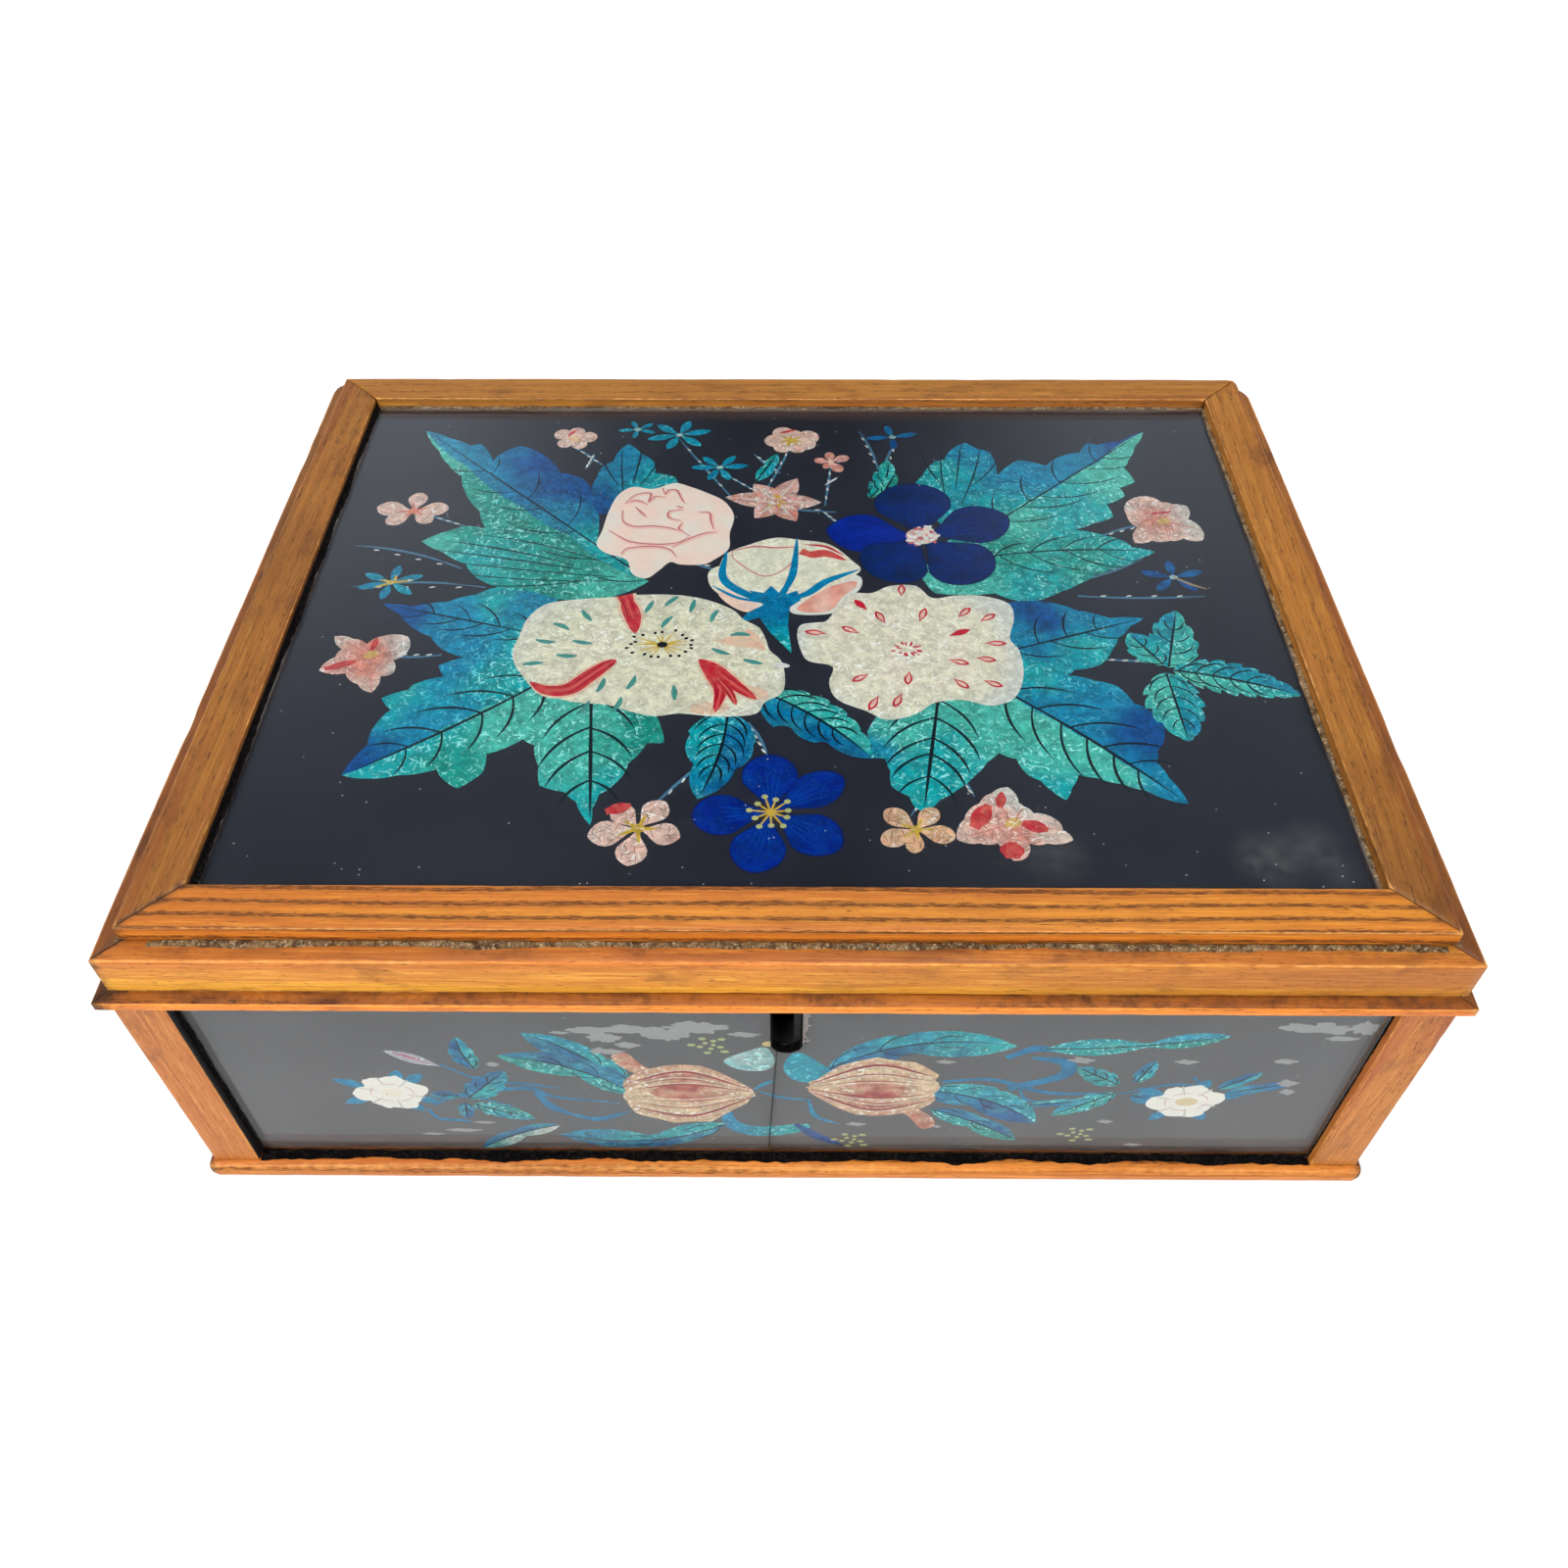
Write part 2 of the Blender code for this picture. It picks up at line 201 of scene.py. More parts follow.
def honey_wood(settings):
    """Varnished ring-porous wood; the pieces carry their own grain, tint, wear, grime, and a share of black
    paint on inner faces. The rubbed arrises are partly a painted highlight, the black inner faces partly
    painted shade, and the tints of the lid's trim and frame hold painted shade and light.
    """
    f = Finish("honey wood")
    grain = f.attribute("grain", "Vector")
    _, across, up = f.parts(grain)
    drift = f.cloud(f.stretched(grain, (8, 42, 42)), 1, 2) - 0.5
    flutter = f.cloud(f.stretched(grain, (110, 420, 420)), 1, 3) - 0.5
    distance = (across * across + up * up).root() + drift * 0.003 + flutter * 0.00022
    ring = (distance / (settings.ring_spacing * MM)).fraction()
    strength = f.attribute("tint", "Alpha")
    porous = f.step(ring, 0, 0.12) * (1 - f.step(ring, 0.26, 0.5)) * strength
    late = f.step(ring, 0.88, 0.96) * (1 - f.step(ring, 0.97, 1))
    fibre = f.cloud(f.stretched(grain, (60, 1700, 1700)), 1, 4, 0.68)
    dash = f.cloud(f.stretched(grain, (380, 3200, 3200)), 1, 2, 0.6)
    pore = f.step(dash + porous * 0.21, 0.6, 0.76)
    heart = f.step(f.cloud(f.stretched(grain, (3, 105, 105)), 1, 1, 0.4), 0.47, 0.55)
    mood = f.cloud(grain, 17, 3)

    colour = f.mixed(heart * 0.7 + ring * 0.3, settings.light_wood, settings.warm_wood)
    colour = f.mixed(f.step(fibre, 0.36, 0.74) * 0.5, colour, settings.stained_wood)
    colour = f.mixed(f.step(fibre, 0.5, 0.28) * 0.4, colour, settings.bare_wood)
    colour = f.mixed(porous * 0.5 + late * (0.22 + strength * 0.2), colour, settings.ring_wood)
    colour = f.mixed(f.step(mood, 0.48, 0.78) * 0.45, colour, settings.stained_wood)
    smudge = f.step(f.cloud(f.stretched(grain, (55, 130, 130)), 1, 4, 0.62), 0.52, 0.72)
    colour = f.mixed(smudge * (0.62 - strength * 0.45), colour, settings.ring_wood)
    colour = f.mixed(pore * 0.72, colour, settings.pore_wood)
    colour = f.mixed(1, colour, f.attribute("tint", "Color"), "MULTIPLY")
    # Rubbed arrises lighten towards bare wood: partly real wear, partly a painted highlight along the edges.
    rub = f.cloud(grain, 420, 3)
    wear = f.step(f.attribute("wear") + rub * 0.55, 0.85, 1.2)
    colour = f.mixed(wear * 0.5, colour, settings.bare_wood)
    dirt = f.cloud(grain, 330, 4, 0.65)
    grime = f.step(f.attribute("grime") + (dirt - 0.5) * 0.9, 0.32, 0.85)
    fleck = f.step(dirt, 0.66, 0.74) * 0.35
    colour = f.mixed(grime * 0.85 + fleck * (1 - grime), colour, settings.grime)
    # Inner faces beside the glass go near-black: partly black paint, partly painted shade of the recess.
    ink = f.step(f.attribute("ink") + (f.cloud(grain, 700, 3) - 0.5) * 0.5, 0.42, 0.58)
    colour = f.mixed(ink, colour, srgb(16, 14, 15))

    rough = 0.42 + fibre * 0.16 + pore * 0.25 + grime * 0.3 + wear * 0.1
    height = fibre * 0.6 - pore * 0.9 - porous * 0.3 + grime * 0.4
    relief = f.bump(height, 0.6, 0.00012, f.bump(rub, 0.3, 0.00025))
    return f.surface(Base_Color=colour, Roughness=rough, Normal=relief, Coat_Weight=0.08,
                     Coat_Roughness=0.22, Specular_IOR_Level=0.25)


def board_wood(settings):
    """Dull, unvarnished boards inside the box."""
    f = Finish("inner wood")
    place = f.place()
    fibre = f.cloud(f.stretched(place, (40, 40, 1500)), 1, 4, 0.6)
    band = f.cloud(f.stretched(place, (8, 8, 210)), 1, 2, 0.5, 0.4)
    stain = f.cloud(place, 26, 3)
    colour = f.mixed(f.step(band, 0.35, 0.7), settings.board_light, settings.board_dark)
    colour = f.mixed(fibre * 0.3, colour, settings.pore_wood)
    colour = f.mixed(f.step(stain, 0.5, 0.8) * 0.4, colour, settings.grime)
    x, y, z = f.parts(place)
    # Near-black patch on the wall board behind the keyhole notch: painted shade of the keyhole.
    near_notch = (1 - f.step(abs(x), 4.6 * MM, 6 * MM)) * f.step(z, 50 * MM, 54 * MM)
    keyhole_shade = near_notch * (1 - f.step(y, -0.1012, -0.1002))
    colour = f.mixed(keyhole_shade, colour, srgb(13, 11, 11))
    relief = f.bump(fibre, 0.5, 0.0002)
    return f.surface(Base_Color=colour, Roughness=0.68 + fibre * 0.2, Normal=relief)


def clear_glass(name, way, index):
    """Old sheet glass, see-through, with a slight wave; its cut edges are matt. way is the axis that it
    faces."""
    f = Finish(name)
    place = f.place()
    facing = abs(f.parts(f.node("ShaderNodeNewGeometry", output="True Normal"))[way])
    smear = f.step(f.cloud(place, 38, 3), 0.55, 0.8)
    rough = (1 - f.step(facing, 0.4, 0.6)) * 0.7 + smear * (0.03 if way == 2 else 0)
    return f.surface(Base_Color=f.mixed(facing, (0.06, 0.07, 0.07), (0.965, 0.985, 0.98)), Roughness=rough,
                     IOR=index, Transmission_Weight=1, Normal=f.bump(f.cloud(place, 22, 1), 0.03, 0.0006))


def painted_foil():
    """Paint on the back of glass, with crumpled foil shining through where a patch says so. Its glints,
    sparks and facet-to-facet brightness are painted highlights in the base colour.
    """
    f = Finish("painted foil")
    place = f.place()
    paint = f.attribute("paint", "Color")
    foil = f.attribute("foil")
    bend = f.node("ShaderNodeTexNoise", {}, {"Vector": place, "Scale": 420, "Detail": 1}, "Color")
    bent = f.node("ShaderNodeVectorMath", {"operation": "MULTIPLY_ADD"},
                  {0: bend, 1: (0.0016, 0.0016, 0.0016), 2: place})
    facet = f.parts(f.cells(bent, 1500, 1, "Color"))[0]
    glitter = f.parts(f.cells(place, 2300, 1, "Color"))[2]
    swell = f.cloud(bent, 330, 2)
    dense = f.step(f.cloud(place, 70, 2), 0.36, 0.62)
    fold = 0
    for angle in (0.4, 1.4, 2.5):
        laid = f.node("ShaderNodeVectorRotate", {"rotation_type": "Z_AXIS"}, {"Vector": bent, "Angle": angle})
        fold = f.step(f.cloud(f.stretched(laid, (360, 1150, 700)), 1, 2), 0.62, 0.67) + fold
    red, pale, blue = f.parts(paint)
    # Painted highlights: bright strokes along the foil's folds and glitter sparks, stronger on pale paint.
    painted_glint = fold * (0.35 + dense * 0.65) * f.step(foil, 0.2, 0.45)
    painted_glint = painted_glint * (0.45 + foil * 0.45) * f.step(pale, 0.1, 0.5)
    painted_spark = f.step(glitter, 0.92, 0.99) * dense * (foil - 0.5)
    # Painted sheen: each facet and swell of the foil is painted lighter or darker.
    bright = 0.42 + facet * (0.36 - pale * 0.1) + f.step(swell, 0.3, 0.7) * (0.5 - pale * 0.18)
    grey = f.node("ShaderNodeCombineXYZ", {}, {0: bright, 1: bright, 2: bright})
    lit = f.mixed(foil, paint, f.mixed(1, paint, grey, "MULTIPLY"))
    # The colour of the painted highlights: cyan on blue and green paint, white on warm paint.
    cool = f.mixed(f.step(blue - pale, 0.02, 0.16), (0.42, 1, 0.98), (0.16, 0.86, 1))
    highlight_colour = f.mixed(f.step(red, 0.2, 0.6), cool, (1, 1, 0.98))
    lit = f.mixed(painted_glint * 1.3, lit, f.mixed(0.78, paint, highlight_colour))
    lit = f.mixed(painted_spark * 0.7, lit, f.mixed(0.6, paint, highlight_colour))
    relief = f.bump(facet * 0.5 + swell + fold * 0.4, foil * 0.5, 0.0005)
    return f.surface(Base_Color=lit, Metallic=foil * 0.2, Roughness=0.5 - foil * 0.1, Normal=relief,
                     Specular_IOR_Level=0)


def settled_dust():
    """Gritty grey-brown dust and crumbling putty, black where it is sooted; the black strips in the recesses
    by the glass and round the keyhole notch are partly painted shade.
    """
    f = Finish("dust")
    place = f.place()
    grit = f.cells(place, 2400)
    clump = f.cloud(place, 420, 4, 0.7)
    pale = f.cells(place, 1800, 1, "Color")
    speck = f.step(f.parts(pale)[0], 0.66, 0.9)
    colour = f.mixed(f.step(clump, 0.36, 0.64), srgb(74, 54, 36), srgb(142, 114, 80))
    colour = f.mixed(speck * 0.55, colour, srgb(184, 164, 132))
    colour = f.mixed(f.step(grit, 0.25, 0.6) * 0.5, colour, srgb(52, 38, 28))
    # Where the value is high the colour goes near-black: sooty dirt, and in the recesses by the glass painted
    # shade.
    soot = f.step(f.attribute("soot") + (clump - 0.5) * 0.5, 0.3, 0.7)
    colour = f.mixed(soot, colour, f.mixed(speck * 0.1, srgb(6, 5, 6), srgb(80, 70, 62)))
    relief = f.bump(clump + grit * 0.6, 0.9, 0.0005)
    return f.surface(Base_Color=colour, Roughness=0.95, Normal=relief, Specular_IOR_Level=0.05)


# Meshes

def place_piece(name, mesh, slot, finish, *nodes):
    """Adds a mesh with its finish as a piece of the box, standing for the CAD nodes named."""
    mesh.materials.append(bpy.data.materials[finish])
    piece = bpy.data.objects.new(name, mesh)
    bpy.context.collection.objects.link(piece)
    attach(piece, BODY)
    if nodes:
        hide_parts(*nodes)


def rounded(corners, radius, steps=4, spacing=1.3 * MM):
    """A section with its corners rounded and its long edges divided. Each point comes with the way into the
    wood and its nearness to an arris. The corners run anticlockwise."""
    outline = []
    count = len(corners)
    for i, corner in enumerate(corners):
        corner = Vector(corner)
        before = (Vector(corners[i - 1]) - corner).normalized()
        after = (Vector(corners[(i + 1) % count]) - corner).normalized()
        start, end = corner + before * radius, corner + after * radius
        for k in range(steps + 1):
            t = k / steps
            outline.append((start * (1 - t) ** 2 + corner * (2 * t * (1 - t)) + end * t ** 2,
                            1 - abs(2 * t - 1) * 0.4))
        following = Vector(corners[(i + 1) % count]) - after * radius
        pieces = max(1, round((following - end).length / spacing))
        for k in range(1, pieces):
            reach = min(k, pieces - k) * spacing
            outline.append((end.lerp(following, k / pieces), max(0, 0.55 - reach / (1.2 * MM))))
    section = []
    for i, (point, arris) in enumerate(outline):
        way = (outline[(i + 1) % len(outline)][0] - outline[i - 1][0]).normalized()
        section.append((point, Vector((-way.y, way.x)), arris))
    return section


def roughened(point, seed, scale):
    return noise.noise(point * scale + Vector((seed, seed * 0.7, -seed)))


def tube(name, rings):
    """A closed mesh through rings of points, capped at both ends."""
    ring = len(rings[0])
    faces = [tuple(reversed(range(ring))), tuple(range((len(rings) - 1) * ring, len(rings) * ring))]
    for r in range(len(rings) - 1):
        for i in range(ring):
            j = (i + 1) % ring
            faces.append((r * ring + i, r * ring + j, (r + 1) * ring + j, (r + 1) * ring + i))
    mesh = bpy.data.meshes.new(name)
    mesh.from_pydata([point for points in rings for point in points], [], faces)
    if signed_volume(mesh) < 0:
        mesh.flip_normals()
    mesh.shade_smooth()
    mesh.set_sharp_from_angle(angle=math.radians(50))
    return mesh


def settled(name, start, end, aside, up, width, height, soot, seed, step=1.1 * MM):
    """A low irregular bank of dust or putty along a line. It is thickest at the line and thins out to the
    side."""
    start, end, aside, up = (Vector(v) for v in (start, end, aside, up))
    stations = max(8, round((end - start).length / step))
    rings, soots_and_shades = [], []
    spans = 6
    for r in range(stations + 1):
        foot = start.lerp(end, r / stations)
        fade = min(1, min(r, stations - r) / 5 + 0.15)
        wide = width * (0.78 + 0.45 * roughened(foot, seed, 70) + 0.25 * roughened(foot, seed + 3, 420))
        ring = [foot, foot + aside * wide]
        for k in range(spans, -1, -1):
            share = k / spans
            sample = foot + aside * wide * share
            lump = 0.72 + 0.5 * roughened(sample, seed + 1, 520) + 0.5 * roughened(sample, seed + 2, 120)
            ring.append(sample + up * height * fade * ((1 - share ** 1.6) * max(0.25, lump) + 0.04))
        rings.append(ring)
        soots_and_shades += [soot + 0.35 * roughened(foot, seed + 7, 90)] * len(ring)
    mesh = tube(name, rings)
    write_attribute(mesh, "soot", "FLOAT", "value", soots_and_shades)
    place_piece(name, mesh, "dust", "dust")


def worn_bar(name, node, section, ends, to_world, settings, seed, tilt=0, end_wear=0.3 * MM,
             shade=(1, 1, 1), grime=None, ink=None, step=2.5 * MM, pith=(0.045, 0.01), rings=1):
    """A bar of worn wood along a section: ends gives, for a place in the section, where it starts and
    stops."""
    chance = random.Random(seed)
    longest = max(ends(point)[1] - ends(point)[0] for point, _, _ in section)
    stations = max(8, round(longest / step))
    shares = sorted({0, 1, *(i / stations for i in range(1, stations)),
                     0.3 * end_wear / longest, 1 - 0.3 * end_wear / longest,
                     end_wear / longest, 1 - end_wear / longest})
    pith = Vector(pith)
    shift = chance.uniform(1, 9)
    places, grains, wears_and_highlights, tints, grimes, inks_and_shades = [], [], [], [], [], []
    for share in shares:
        near_end = min(share, 1 - share) * longest
        inset = max(0, end_wear - near_end)
        pull = end_wear - math.sqrt(end_wear ** 2 - inset ** 2)
        for point, inward, arris in section:
            low, high = ends(point)
            along = low + (high - low) * share
            sample = Vector((along, point.x, point.y))
            wave = 0.5 + 0.5 * roughened(sample, seed, 32)
            nick = max(0, roughened(sample, seed + 5, 190) - 0.12)
            dent = max(0, roughened(sample, seed + 9, 60) - 0.42)
            depth = settings.waviness * MM * wave
            depth += settings.arris_wear * MM * arris * (0.35 + 1.6 * nick)
            depth += 0.9 * MM * dent * arris + pull
            if along > 0 and point.y <= 0.02 * MM and inward.y > 0.9 and node == "base_board":
                depth = pull
            inner = point + inward * depth
            places.append(to_world(along, inner))
            grain = Vector((along + shift, point.x - pith.x + tilt * along,
                            point.y - pith.y + tilt * along * 0.6))
            grains.append(grain)
            # Lighter on the arrises and near the ends: partly wear, partly a painted highlight.
            wears_and_highlights.append(min(1, arris * (0.55 + 0.9 * wave * 0.5) + (0.25 if near_end < 1 * MM else 0)))
            vary = 1 + 0.06 * roughened(sample, seed + 2, 12)
            tone = shade(along, point) if callable(shade) else shade
            tints.append((*dim(tone, vary), rings))
            grimes.append(grime(along, point, near_end) if grime else max(0, 0.55 - near_end / (3 * MM)))
            inks_and_shades.append(ink(along, point) if ink else 0)
    size = len(section)
    mesh = tube(name, [places[k:k + size] for k in range(0, len(places), size)])
    write_attribute(mesh, "grain", "FLOAT_VECTOR", "vector", grains)
    write_attribute(mesh, "wear", "FLOAT", "value", wears_and_highlights)
    write_attribute(mesh, "grime", "FLOAT", "value", grimes)
    write_attribute(mesh, "ink", "FLOAT", "value", inks_and_shades)
    write_attribute(mesh, "tint", "FLOAT_COLOR", "color", tints)
    place_piece(name, mesh, "honey_wood", "honey wood", node)


def signed_volume(mesh):
    total = 0
    for face in mesh.polygons:
        corners = [mesh.vertices[i].co for i in face.vertices]
        for k in range(1, len(corners) - 1):
            total += corners[0].dot(corners[k].cross(corners[k + 1]))
    return total


def write_attribute(mesh, name, kind, field, values, domain="POINT"):
    layer = mesh.attributes.new(name, kind, domain)
    flat = [number for value in values for number in (value if hasattr(value, "__len__") else (value,))]
    layer.data.foreach_set(field, flat)


# Drawing. A place on a picture is a complex number, x + y·j, in millimetres.

def facing_up(outline):
    """The outline, turned so that it runs anticlockwise."""
    area = sum((a.conjugate() * b).imag for a, b in zip(outline, outline[1:] + outline[:1]))
    return outline if area > 0 else outline[::-1]


class Patch:
    """One painted area: its outline, its colour (or a rule that gives it at each place) and its foil."""

    def __init__(self, outline, tone, foil=0):
        self.outline = facing_up(outline)
        self.tone = tone if callable(tone) else (lambda place: tone)
        self.foil = foil if callable(foil) else (lambda place: foil)


def blend(share, first, second):
    share = min(1, max(0, share))
    return tuple(a + (b - a) * share for a, b in zip(first, second))


def dim(colour, share):
    return tuple(part * share for part in colour)


def cloudy(place, size, layer=0):
    """Soft noise from 0 to 1 over a picture, with blots of about that size."""
    return 0.5 + 0.5 * noise.noise(Vector((place.real / size, place.imag / size, layer)))


def blots(size, layer, gain, less, first, second):
    """A rule that mixes two colours in soft blots."""
    return lambda place: blend(cloudy(place, size, layer) * gain - less, first, second)


def turned(degrees, length=1):
    """A step of that length in that direction."""
    return length * complex(math.cos(math.radians(degrees)), math.sin(math.radians(degrees)))


def heading_of(step):
    return math.degrees(math.atan2(step.imag, step.real))


def unit(step):
    return step / abs(step) if abs(step) else 1+0j


def bowed(start, end, bow, count=12):
    """A curve from start to end that bows to its left by a share of its length."""
    axis = end - start
    return [start + axis * t + axis * 1j * bow * 4 * t * (1 - t)
            for t in (i / count for i in range(count + 1))]


def spline(a, b, c, d, count):
    """The stretch from b to c of a smooth curve through four points."""
    square, cube = 2 * a - 5 * b + 4 * c - d, 3 * b - a - 3 * c + d
    shares = [i / count for i in range(count)]
    return [0.5 * (2 * b + (c - a) * t + square * t * t + cube * t ** 3) for t in shares]


def through(points, count=6):
    """A smooth curve through points."""
    padded = [2 * points[0] - points[1], *points, 2 * points[-1] - points[-2]]
    stretches = zip(padded, padded[1:], padded[2:], padded[3:])
    return [p for four in stretches for p in spline(*four, count)] + [points[-1]]


def closed_through(points, count=5):
    """A smooth closed curve through points."""
    total = len(points)
    return [p for i in range(total) for p in spline(*(points[(i + k - 1) % total] for k in range(4)), count)]


def brushed(path, width, start=0.15, end=0.1):
    """The outline of a brush stroke along a path; start and end are the shares of its width at its ends."""
    left, right = [], []
    last = len(path) - 1
    for i, point in enumerate(path):
        t = i / last
        heading = unit(path[min(i + 1, last)] - path[max(i - 1, 0)])
        swell = math.sin(math.pi * t) ** 0.6
        half = width / 2 * max(swell, start * (1 - t) + end * t)
        left.append(point + heading * 1j * half)
        right.append(point - heading * 1j * half)
    return left + right[::-1]


def petal(base, tip, width, widest=0.62, blunt=0.6, waist=0.35, count=11):
    """The outline of a petal. widest is the place of its full width, waist is its width at its base, and
    blunt runs from 0.5, a round end, to 1, a pointed one."""
    axis = tip - base
    power = math.log(0.5) / math.log(widest)
    sides = [], []
    for i in range(1, count):
        t = 0.5 - 0.5 * math.cos(math.pi * i / count)
        half = width / 2 * math.sin(math.pi * t ** power) ** blunt * (
            waist + (1 - waist) * min(1, t / (0.75 * widest)))
        sides[0].append(base + axis * t + unit(axis) * 1j * half)
        sides[1].append(base + axis * t - unit(axis) * 1j * half)
    return [base, *sides[0], tip, *sides[1][::-1]]


def rosette(centre, petals, inner=0, rough=0.03, seed=1, count=150):
    """A round outline made by petals, each given by its direction in degrees, its reach and its half
    spread."""
    outline = []
    for i in range(count):
        angle = 360 * i / count
        reach = inner
        for heading, length, spread in petals:
            off = abs((angle - heading + 180) % 360 - 180) / spread
            if off < 1:
                reach = max(reach, length * math.cos(math.pi / 2 * off) ** 0.45)
        way = turned(angle)
        reach *= 1 + rough * 2 * noise.noise(Vector((way.real * 5, way.imag * 5, seed)))
        reach *= 1 + rough * noise.noise(Vector((way.real * 17, way.imag * 17, seed + 4)))
        outline.append(centre + way * reach)
    return outline


def oval(centre, across, deep, turn=0, count=14):
    return [centre + turned(turn) * complex(across * math.cos(a), deep * math.sin(a))
            for a in (2 * math.pi * i / count for i in range(count))]


def teeth(count, width, widest=0.42, cut=0.2, start=0.12):
    """The edge of an evenly toothed leaf, as leaf() takes it."""
    edge = []
    for k in range(count):
        t = start + (0.93 - start) * k / (count - 1)
        reach = width * math.sin(math.pi * t ** (math.log(0.5) / math.log(widest))) ** 0.75
        edge += [t, reach, t + 0.008, reach * (1 - cut)]
    return edge


class Painter:
    """Lays patches of a picture over one another, the last on top."""

    def __init__(self, settings, seed, depth=1):
        self.patches = []
        self.chance = random.Random(seed)
        self.vary = self.chance.uniform
        names = [name for name in settings.__annotations__ if name != "spacing"]
        # depth dims every colour of the picture: painted shade, below 1 on the wall panes.
        self.colours = SimpleNamespace(**{name: dim(getattr(settings, name), depth) for name in names})

    def tone_of(self, tone):
        return getattr(self.colours, tone) if isinstance(tone, str) else tone

    def lay(self, outline, tone, foil=0):
        self.patches.append(Patch(outline, self.tone_of(tone), foil))

    def line(self, path, width, tone, foil=0, start=0.3, end=0.2):
        self.lay(brushed(path, width, start, end), tone, foil)

    def body(self, centre, points, tone, foil, count=5):
        """A rounded area through points given from a centre."""
        self.lay(closed_through([centre + p for p in points], count), tone, foil)

    def stroke(self, centre, points, width, tone, foil=0, start=0.3, end=0.2):
        """A smooth brush stroke through points given from a centre."""
        self.line(through([centre + p for p in points]), width, tone, foil, start, end)

    def dots(self, centre, spread, count, size, tone, squash=1):
        for _ in range(count):
            step = turned(self.vary(0, 360), spread * math.sqrt(self.chance.random()))
            place = centre + complex(step.real, step.imag * squash)
            self.lay(oval(place, size * self.vary(0.7, 1.2), size * 0.8, count=7), tone)

    def leaf(self, base, tip, left, right, left_tones, right_tones, bow, veins, vein, foil=1, pale=0.35):
        """A leaf in two halves. left and right run from base to tip through lobe, notch, lobe, notch and so
        on, each as its place along the midrib, then its reach from it; right is None where it is like left.
        Each half has a near and a far colour."""
        axis = tip - base
        way = unit(axis)

        def rib(t):
            return base + axis * t + axis * 1j * bow * 4 * t * (1 - t)

        def reach_at(edge, t):
            stops = [(0, 0), *edge, (1, 0)]
            for (low, first), (high, second) in zip(stops, stops[1:]):
                if low <= t <= high:
                    return first + (second - first) * (t - low) / max(1e-6, high - low)
            return 0

        for side, edge, tones in ((1, left, left_tones), (-1, right or left, right_tones)):
            edge = list(zip(edge[::2], edge[1::2]))
            near, far = (self.tone_of(name) for name in tones)
            outline = [rib(0)]
            for k, (place, reach) in enumerate((*edge, (1, 0))):
                point = rib(place) + way * side * 1j * reach
                curve = 0.13 if k % 2 == 0 else -0.16
                outline += bowed(outline[-1], point, curve * side, 5)[1:]
            spine = [rib(t / 14) for t in range(14, -1, -1)]
            layer = self.vary(0, 50)

            def tone(place, edge=edge, near=near, far=far, layer=layer):
                local = (place - base) / axis
                t = local.real
                mottled = cloudy(place, 7, layer) - 0.5
                colour = blend(t * 0.95 - 0.05 + mottled * 1.1, near, far)
                light = cloudy(place, 4.5, layer + 9) - 0.42
                return blend(light * 2 * pale + (0.3 * pale if t > 0.88 else 0), colour,
                             self.colours.pale_green)

            self.lay(outline + spine[1:-1], tone, foil)
            for k in range(veins):
                start = 0.04 + 0.8 * k / veins
                end = min(0.95, start + 0.14 + 0.1 * (1 - start))
                foot, out = rib(start), reach_at(edge, end)
                if out * (1 - end) < 0.4:
                    continue
                stop = rib(end) + way * side * 1j * out * self.vary(0.72, 0.92)
                self.line(bowed(foot, stop, 0.17 * side, 8), vein * self.vary(0.8, 1.15), "vein", 0, 0.7,
                          0.12)
        self.line([rib(0.01 + 0.94 * t / 12) for t in range(13)], vein * 1.3, "vein", 0, 0.9, 0.15)

    def mass(self, corners, tones, pale="pale_green", foil=1, bow=-0.05):
        """A broad body between pointed corners; tones gives the places where each colour is strongest."""
        outline, corners = [], facing_up(list(corners))
        for start, end in zip(corners, corners[1:] + corners[:1]):
            outline += bowed(start, end, bow, 4)[:-1]
        layer = self.vary(0, 50)
        spots = [(place, self.tone_of(tone)) for tone, places in tones.items() for place in places]

        def tone(place):
            near = place + 12 * complex(cloudy(place, 9, layer) - 0.5, cloudy(place, 9, layer + 5) - 0.5)
            weights = [(abs(near - spot) ** 2 + 25) ** -2 for spot, _ in spots]
            colour = tuple(sum(w * c[k] for w, (_, c) in zip(weights, spots)) / sum(weights)
                           for k in range(3))
            colour = dim(colour, 0.72 + 0.56 * cloudy(place, 3, layer + 9))
            share = (cloudy(place, 4, layer + 3) - 0.48) * 1.3 * min(
                1, max(0, colour[1] - 0.35 * colour[2]) * 2.6)
            return blend(share, colour, self.tone_of(pale))

        self.lay(outline, tone, foil)

    def ribs(self, base, tip, left, right, bow=0, width=0.62):
        """A midrib with arched side veins. left and right give their number and how far they reach out and
        forward."""
        axis, way = tip - base, unit(tip - base)
        for side, (count, out, forward) in ((1, left), (-1, right)):
            for k in range(count):
                t = 0.02 + 0.84 * k / count + self.vary(-0.02, 0.02)
                foot = base + axis * t + axis * 1j * bow * 4 * t * (1 - t)
                size = min(1, 0.78 + t) * (1 - t) ** 0.5 * self.vary(0.85, 1.05)
                stop = foot + way * (forward + side * 1j * out) * size
                self.line(bowed(foot, stop, 0.11 * side, 8), width * self.vary(0.8, 1.2), "vein", 0, 0.8,
                          0.15)
        self.line(bowed(base, tip, bow, 20)[:-1], width * 1.25, "vein", 0, 0.9, 0.15)

